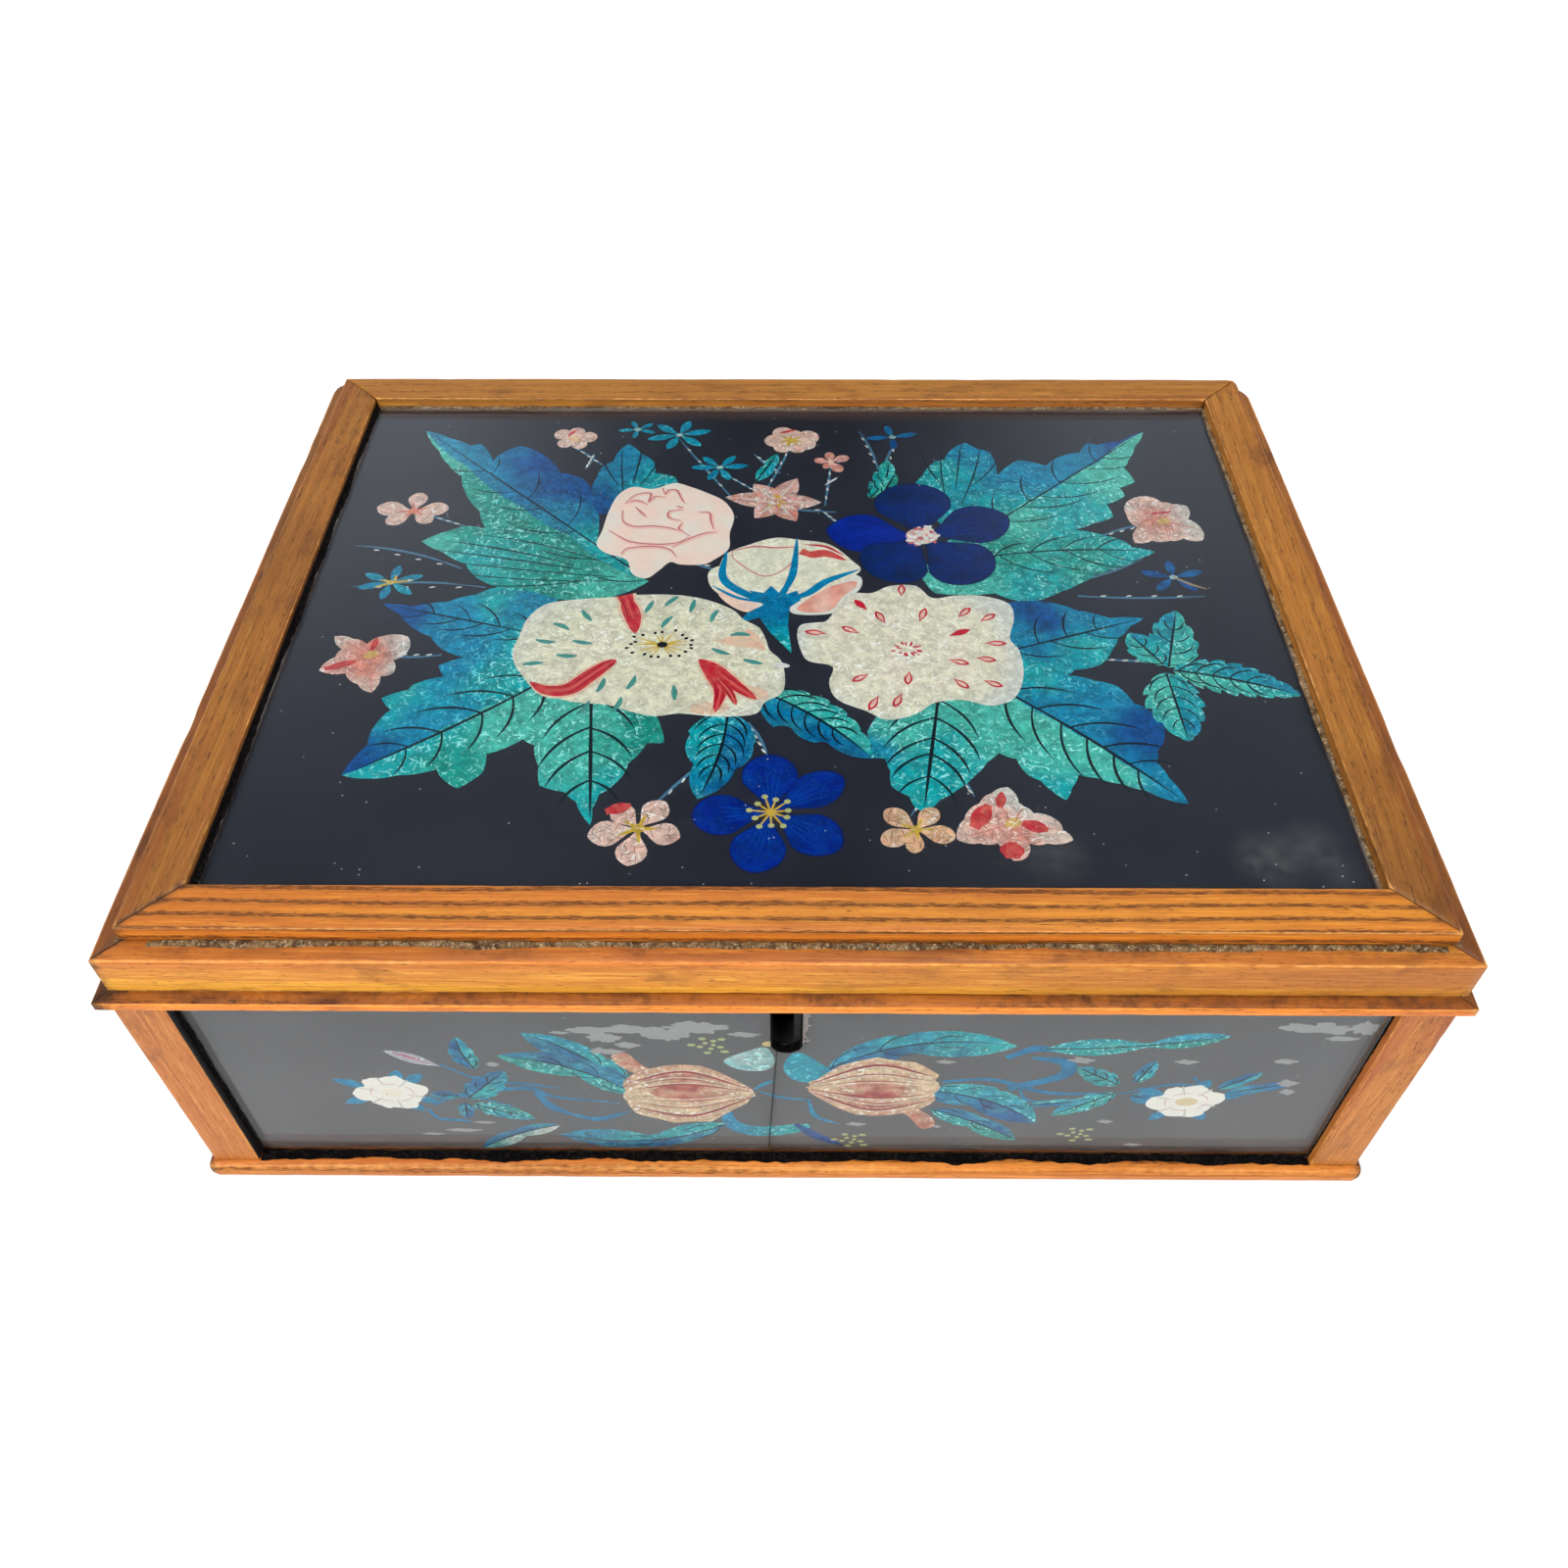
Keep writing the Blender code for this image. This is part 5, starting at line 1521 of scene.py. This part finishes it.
# Each frame: the name of its nodes, its section, the radius of its arrises, its warmth (with painted shade on
# the lid trim and painted light on the lid frame), its pith, the strength of its rings, and how far its four
# corners are rounded, in millimetres
FRAMES = (
    ("rim", sloped, 0.5 * MM, (1, 0.96, 0.86), (-0.02, -0.045), 0.35, (1.2, 1.2, 4, 4)),
    ("lid_frame", square, 0.9 * MM, (1.1, 1.22, 0.98), (-0.012, -0.04), 0.12, (1.2, 1.2, 7, 11)),
    ("lid_trim", square, 0.6 * MM, (0.75, 0.72, 0.38), (-0.09, -0.006), 1, (0.6, 0.6, 1.2, 3.4)))
RAIL_SHADES = {"front": (1, 1, 1), "left": (0.51, 0.54, 0.82), "right": (0.62, 0.66, 1),
               "back": (0.62, 0.7, 1.12)}


def rail(wood, number, k, side, group, corners_of, radius, tone_and_light, pith, rings, wear):
    """One mitred rail of a frame, worn, in the place of its CAD node. number and k count the frame and the
    side."""
    node = f"{group}_{side}"
    low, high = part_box(node)
    lengthwise = side in ("front", "back")
    width = high.y - low.y if lengthwise else high.x - low.x
    ends = [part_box(f"{group}_{end}") for end in ("left", "right", "front", "back")]
    west, east, south, north = ends[0][0].x, ends[1][1].x, ends[2][0].y, ends[3][1].y
    start, stop = (west, east) if lengthwise else (south, north)
    start, stop = start + MITRE_PLAY, stop - MITRE_PLAY
    # The frame's tone carries painted shade on the lid trim and painted light on the lid frame.
    base = tuple(a * b for a, b in zip(RAIL_SHADES[side], tone_and_light))
    tilt = (0.003, -0.02, 0.03, 0.022)[(k + number) % 4]
    if side == "front":
        tilt = (0.004, 0.012, 0.0015)[number]

    def to_world(along, point):
        x, y = {"front": (along, low.y + point.x), "back": (along, high.y - point.x),
                "left": (low.x + point.x, along), "right": (high.x - point.x, along)}[side]
        worn = wear[(x > 0) + 2 * (y > 0)] * MM
        middle = Vector((east - worn if x > 0 else west + worn, north - worn if y > 0 else south + worn))
        beyond = Vector((x, y)) - middle
        if (beyond.x > 0) == (x > 0) and (beyond.y > 0) == (y > 0) and beyond.length > worn:
            x, y = middle + beyond * worn / beyond.length
        return x, y, point.y

    def shade(along, point):
        streak = 1 + 0.25 * roughened(Vector((along * 0.3, point.x, point.y)), 5, 300)
        if group == "rim":
            change = dim((0.54, 0.44, 0.22), streak) if point.x > 0.3 * MM else (1.26, 1.1, 0.75)
        elif group == "lid_frame" and point.x > 0.6 * MM:
            # The ledge is darker and browner: partly its own brown, partly painted shade.
            change = dim((0.58, 0.5, 0.4), streak)
        elif group == "lid_frame" and side == "front":
            share = (point.y - low.z) / (high.z - low.z) + 0.15 * roughened(Vector((along, 0, 0)), 8, 9)
            change = blend((share - 0.74) * 6 * (along < 0.03), (1.02, 1.12, 0.82), (0.92, 0.82, 0.78))
            change = blend((along + 0.01) / 0.13, change, (0.68, 0.62, 0.46))
        else:
            # Below its top 1.6 mm the lid trim is painted lighter: painted light on its front face.
            change = (1.45, 1.42, 1.35) if group == "lid_trim" and point.y < high.z - 1.6 * MM else (1, 1, 1)
        if side == "right":
            change = dim(change, 1 - 0.24 * min(1, max(0, -along / 0.1)))
        return tuple(a * b for a, b in zip(base, change))

    def grime(along, point, near_end):
        soiled = side in ("front", "left") and along < 0
        corner = 0.62 - near_end / (9 * MM) if soiled else (
            0.42 if side == "front" else 0.3) - near_end / (2.5 * MM)
        corner = max(0, corner)
        stain = 0.3 * roughened(Vector((along, point.x, 1)), 3, 45)
        if group == "rim":
            corner += 0.35 * (soiled and near_end < 7 * MM)
            return max(corner, (0.46 if point.x > 0.3 * MM else 0.1) + stain)
        return max(corner, 0.32 + stain if group == "lid_frame" and point.x > 1.2 * MM else 0)

    # The lid trim's inner face goes near-black: partly black paint, partly painted shade beside the glass.
    def ink(along, point):
        inner = group == "lid_trim" and point.x > LID_TRIM_WIDTH - 0.3 * MM
        return 1 if inner and point.y < high.z - (0.7 if side == "left" else 2.4) * MM else 0

    worn_bar(f"worn_{node}", node, rounded(corners_of(width, low.z, high.z), radius),
             lambda point: (start + point.x, stop - point.x), to_world, wood, wood.seed + number * 4 + k,
             tilt, 0.12 * MM, shade, grime, ink, pith=pith, rings=rings if side == "front" else rings * 0.35)


class TRINKETBOX_OT_frames(Operator):
    """Makes the mitred rails of the rim and the lid"""
    bl_idname = "trinketbox.frames"
    bl_label = "Make Rails"

    def execute(self, context):
        for number, looks in enumerate(FRAMES):
            for k, side in enumerate(SIDES):
                rail(context.scene.trinketbox_wood, number, k, side, *looks)
        return {"FINISHED"}


class TRINKETBOX_OT_carcass(Operator):
    """Makes the bottom board and the four corner posts"""
    bl_idname = "trinketbox.carcass"
    bl_label = "Make Base and Posts"

    def execute(self, context):
        wood = context.scene.trinketbox_wood
        low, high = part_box("base_board")
        section = rounded([(low.y, low.z), (high.y, low.z), (high.y, high.z), (low.y, high.z)], 2.4 * MM)

        def soiled(along, point, near_end):
            corner = max(0, 0.9 - near_end / (5 * MM))
            return max(corner, 0.45 if point.y < 1.2 * MM else 0)

        worn_bar("worn_base_board", "base_board", section, lambda point: (low.x, high.x),
                 lambda along, point: (along, point.x, point.y), wood, wood.seed + 40, 0.002, 2.4 * MM,
                 (1, 0.88, 0.66), soiled, pith=(0, -0.045), rings=0.7)
        for k, (x, y) in enumerate((("left", "front"), ("right", "front"), ("left", "back"),
                                    ("right", "back"))):
            node = f"post_{y}_{x}"
            low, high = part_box(node)
            width = high.x - low.x
            outer = (low.x if x == "left" else high.x, low.y if y == "front" else high.y)
            turn = (1 if x == "left" else -1, 1 if y == "front" else -1)

            def to_world(along, point):
                return outer[0] + turn[0] * point.x, outer[1] + turn[1] * point.y, along

            # The posts' inner faces go near-black: partly black paint, partly painted shade of the recess by
            # the glass.
            def ink(along, point):
                return 1 if k != 1 and max(point.x, point.y) > width - 0.25 * MM else 0

            section = rounded([(0, 0), (width, 0), (width, width), (0, width)], 0.8 * MM)
            worn_bar(f"worn_{node}", node, section, lambda point: (low.z, high.z), to_world, wood,
                     wood.seed + 50 + k, (0.004, 0.05)[k % 2],
                     shade=((0.88, 0.92, 0.94), (0.76, 0.72, 0.66))[k % 2], ink=ink,
                     pith=((-0.01, 0.05), (0.004, 0.022))[k % 2], rings=(0.1, 0.25)[k % 2])
        return {"FINISHED"}


class TRINKETBOX_OT_dust(Operator):
    """Settles dust, putty and sooty black strips in the joints; the black strips by the glass and round the
    keyhole notch are partly painted shade
    """
    bl_idname = "trinketbox.dust"
    bl_label = "Settle Dust"

    def execute(self, context):
        left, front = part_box("lid_trim_left")[0].x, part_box("lid_trim_front")[0].y
        right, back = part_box("lid_trim_right")[1].x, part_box("lid_trim_back")[1].y
        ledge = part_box("lid_frame_front")[1].z - 0.05 * MM
        outer = [(x, y, ledge) for x, y in ((left, front), (right, front), (right, back), (left, back))]
        start = (left + 6 * MM, front, ledge), (right - 2 * MM, front, ledge)
        left, right = left + LID_TRIM_WIDTH, right - LID_TRIM_WIDTH
        front, back = front + LID_TRIM_WIDTH, back - LID_TRIM_WIDTH
        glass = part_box("lid_glass")[1].z + 0.02 * MM
        inner = [(x, y, glass) for x, y in ((left, front), (right, front), (right, back), (left, back))]
        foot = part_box("base_board")[1].z + 0.02 * MM
        post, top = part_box("post_front_left")[1].x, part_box("post_front_left")[1].z
        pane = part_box("glass_front_left")[0].y - 0.02 * MM
        up, east, west, north, south = (0, 0, 1), (1, 0, 0), (-1, 0, 0), (0, 1, 0), (0, -1, 0)
        # Strips near 1 in their last value (the putty at the lid's front and left, and the strips at the
        # front pane's foot and sides) are black: partly sooty dirt, partly painted shade of the recesses.
        strips = (("dust_ledge_front", *start, south, up, 1.5, 0.8, 0.1),
                  ("dust_ledge_left", outer[3], outer[0], west, up, 1.5, 0.5, 0.35),
                  ("dust_ledge_right", outer[1], outer[2], east, up, 1.5, 0.5, 0.35),
                  ("dust_ledge_back", outer[2], outer[3], north, up, 1.8, 0.6, 0.2),
                  ("putty_front", inner[0], inner[1], north, up, 0.9, 0.35, 0.9),
                  ("putty_back", inner[2], inner[3], south, up, 1.2, 0.4, 0.3),
                  ("putty_left", inner[3], inner[0], east, up, 1.3, 0.4, 0.9),
                  ("putty_right", inner[1], inner[2], west, up, 1.3, 0.4, 0.2),
                  ("soot_front_foot", (-post, pane, foot), (post, pane, foot), south, up, 2.2, 1.7, 0.95),
                  ("soot_front_left", (post, pane, foot + 0.3 * MM), (post, pane, top), east, south, 1.3, 0.5,
                   1),
                  ("soot_front_right", (-post, pane, foot + 0.3 * MM), (-post, pane, top), west, south, 0.35,
                   0.3, 1))
        for seed, (name, start, end, aside, rise, width, height, soot) in enumerate(strips, 11):
            settled(name, start, end, aside, rise, width * MM, height * MM, soot, seed)
        # A ragged black edge round the keyhole notch: painted shade of the keyhole.
        middle, width, foot = NOTCH
        arch = foot + width / 2
        sides = [complex(width / 2, z) for z in (78, 74, 70, 66, 62)]
        path = [middle + p for p in sides] + [complex(middle, arch) + turned(-a, width / 2)
                                              for a in range(0, 181, 10)]
        path += [middle - p.conjugate() for p in sides[::-1]]
        rings = []
        for place in path:
            inward = unit(complex(middle, max(place.imag, arch)) - place)
            thick = inward * (0.15 + 0.55 * cloudy(place, 0.9, 3))
            rings.append([Vector((p.real * MM, y, p.imag * MM)) for p, y in (
                (place - inward * 0.05, pane), (place + thick, pane), (place + thick, pane + 2 * MM),
                (place - inward * 0.05, pane + 2 * MM))])
        mesh = tube("soot_notch", rings)
        write_attribute(mesh, "soot", "FLOAT", "value", [1] * len(mesh.vertices))
        place_piece("soot_notch", mesh, "dust", "dust")
        return {"FINISHED"}


class TRINKETBOX_OT_pictures(Operator):
    """Paints the pictures behind the panes"""
    bl_idname = "trinketbox.pictures"
    bl_label = "Paint Pictures"

    def execute(self, context):
        paint = context.scene.trinketbox_paint
        back_off = 0.3 * MM
        edge = 0.2

        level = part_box("lid_glass")[0].z - back_off
        painted_sheet("picture_lid", paint_lid(paint), lambda p: (p.real * MM, p.imag * MM, level),
                      paint.spacing, 1)

        low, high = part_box("glass_front_left")
        far_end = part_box("glass_front_right")[1].x
        depth = high.y + back_off
        patches = paint_front(paint, far_end / MM - edge, low.z / MM + edge, high.z / MM - edge, NOTCH)
        painted_sheet("picture_front", patches, lambda p: (p.real * MM, depth, p.imag * MM), paint.spacing, 2)

        low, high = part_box("glass_right")
        reach = high.y / MM - edge
        foot, top = low.z / MM + edge, high.z / MM - edge
        right = low.x - back_off
        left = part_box("glass_left")[1].x + back_off
        back_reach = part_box("glass_back")[1].x / MM - edge
        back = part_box("glass_back")[0].y - back_off
        sides = (("right", reach, 31, lambda p: (right, p.real * MM, p.imag * MM)),
                 ("left", reach, 37, lambda p: (left, -p.real * MM, p.imag * MM)),
                 ("back", back_reach, 41, lambda p: (-p.real * MM, back, p.imag * MM)))
        for number, (side, reach, seed, to_world) in enumerate(sides, 3):
            patches = paint_side(paint, reach, foot, top, seed, side != "back")
            painted_sheet(f"picture_{side}", patches, to_world, paint.spacing, number)
        return {"FINISHED"}


class TRINKETBOX_OT_stage(Operator):
    """Sets the camera, the floor and the lights"""
    bl_idname = "trinketbox.stage"
    bl_label = "Set Stage"

    def execute(self, context):
        scene, stage = context.scene, context.scene.trinketbox_stage
        pitch, yaw, roll = (math.radians(a) for a in (CAMERA_PITCH, CAMERA_YAW, CAMERA_ROLL))
        forward = Vector((math.sin(yaw) * math.cos(pitch), math.cos(yaw) * math.cos(pitch), -math.sin(pitch)))
        right = Vector((math.cos(yaw), -math.sin(yaw), 0))
        up = right.cross(forward)
        right, up = right * math.cos(roll) + up * math.sin(roll), up * math.cos(roll) - right * math.sin(roll)
        lens = bpy.data.cameras.new("camera")
        lens.sensor_width = SENSOR_WIDTH
        lens.lens = SENSOR_WIDTH * CAMERA_FOCAL
        lens.clip_start = 0.01
        camera = bpy.data.objects.new("camera", lens)
        camera.matrix_world = Matrix.Translation(CAMERA_PLACE) @ Matrix(
            (right, up, -forward)).transposed().to_4x4()
        scene.collection.objects.link(camera)
        scene.camera = camera
        scene.view_settings.view_transform = "Standard"

        size = 40
        mesh = bpy.data.meshes.new("floor")
        corners = [(-size, -size, -0.0003), (size, -size, -0.0003), (size, size, -0.0003),
                   (-size, size, -0.0003)]
        mesh.from_pydata(corners, [], [(0, 1, 2, 3)])
        floor = bpy.data.objects.new("floor", mesh)
        scene.collection.objects.link(floor)
        floor.hide_render = not stage.show_floor
        f = Finish("floor")
        mesh.materials.append(f.surface(Base_Color=stage.floor, Roughness=0.9, Specular_IOR_Level=0,
                                        Emission_Color=(1, 1, 1), Emission_Strength=0.66))

        world = bpy.data.worlds.new("studio")
        world.use_nodes = True
        world.node_tree.nodes.clear()
        sky = Finish("studio", world.node_tree)
        way = sky.node("ShaderNodeTexCoord", output="Generated")
        across, deep, height = sky.parts(way)
        bend = (sky.cloud(way, 2.2, 2) - 0.5) * 0.16
        aside = sky.step(abs(across / deep + bend), 0.04, 0.3)
        low_light = 1 - sky.step(height, 0.5, 0.74)
        strength = 0.03 + aside * (0.11 + low_light * (0.4 - across * 0.3))
        soft = sky.node("ShaderNodeBackground", {}, {"Color": (0.86, 0.92, 1), "Strength": strength})
        white = sky.node("ShaderNodeBackground", {}, {"Color": (1, 1, 1), "Strength": 1})
        seen = sky.node("ShaderNodeLightPath", output="Is Camera Ray")
        mixed = sky.node("ShaderNodeMixShader", {}, {0: seen, 1: soft, 2: white})
        sky.node("ShaderNodeOutputWorld", {}, {"Surface": mixed})
        scene.world = world

        lamps = (("key", (-0.85, -1.15, 1.25), 1.1, stage.key_power, (1, 0.97, 0.93)),
                 ("fill", (1.1, -0.9, 0.9), 0.9, stage.fill_power, (1, 0.98, 0.96)),
                 ("top", (0, 0.05, 1.3), 0.9, stage.top_power, (1, 1, 1)),
                 ("back", (0, 1.4, 0.9), 1, stage.back_power, (0.96, 0.98, 1)))
        for name, place, width, power, colour in lamps:
            light = bpy.data.lights.new(name, "AREA")
            light.shape = "SQUARE"
            light.size = width
            light.energy = power
            light.color = colour
            lamp = bpy.data.objects.new(name, light)
            lamp.location = place
            lamp.visible_glossy = lamp.visible_transmission = name != "back"
            lamp.rotation_euler = (Vector((0, 0, 0.04)) - Vector(place)).to_track_quat("-Z", "Y").to_euler()
            scene.collection.objects.link(lamp)
        return {"FINISHED"}


class TRINKETBOX_PT_panel(Panel):
    """Lists the steps and the settings"""
    bl_idname = "TRINKETBOX_PT_panel"
    bl_label = "Trinket Box"
    bl_space_type = "VIEW_3D"
    bl_region_type = "UI"
    bl_category = "Trinket Box"

    def draw(self, context):
        for step in STEPS:
            self.layout.operator(step.bl_idname)
        for group in (context.scene.trinketbox_wood, context.scene.trinketbox_paint,
                      context.scene.trinketbox_stage):
            box = self.layout.box()
            for name in group.__annotations__:
                box.prop(group, name)


SETTINGS = (WoodSettings, PaintSettings, StageSettings)
STEPS = (TRINKETBOX_OT_stage, TRINKETBOX_OT_finishes, TRINKETBOX_OT_boards, TRINKETBOX_OT_carcass,
         TRINKETBOX_OT_frames, TRINKETBOX_OT_pictures, TRINKETBOX_OT_dust)


def register():
    for kind in (*SETTINGS, *STEPS, TRINKETBOX_PT_panel):
        bpy.utils.register_class(kind)
    bpy.types.Scene.trinketbox_wood = PointerProperty(type=WoodSettings)
    bpy.types.Scene.trinketbox_paint = PointerProperty(type=PaintSettings)
    bpy.types.Scene.trinketbox_stage = PointerProperty(type=StageSettings)


def unregister():
    del bpy.types.Scene.trinketbox_stage
    del bpy.types.Scene.trinketbox_paint
    del bpy.types.Scene.trinketbox_wood
    for kind in reversed((*SETTINGS, *STEPS, TRINKETBOX_PT_panel)):
        bpy.utils.unregister_class(kind)


def main():
    register()
    bpy.ops.trinketbox.stage()
    bpy.ops.trinketbox.finishes()
    bpy.ops.trinketbox.boards()
    bpy.ops.trinketbox.carcass()
    bpy.ops.trinketbox.frames()
    bpy.ops.trinketbox.pictures()
    bpy.ops.trinketbox.dust()


if __name__ == "__main__":
    main()
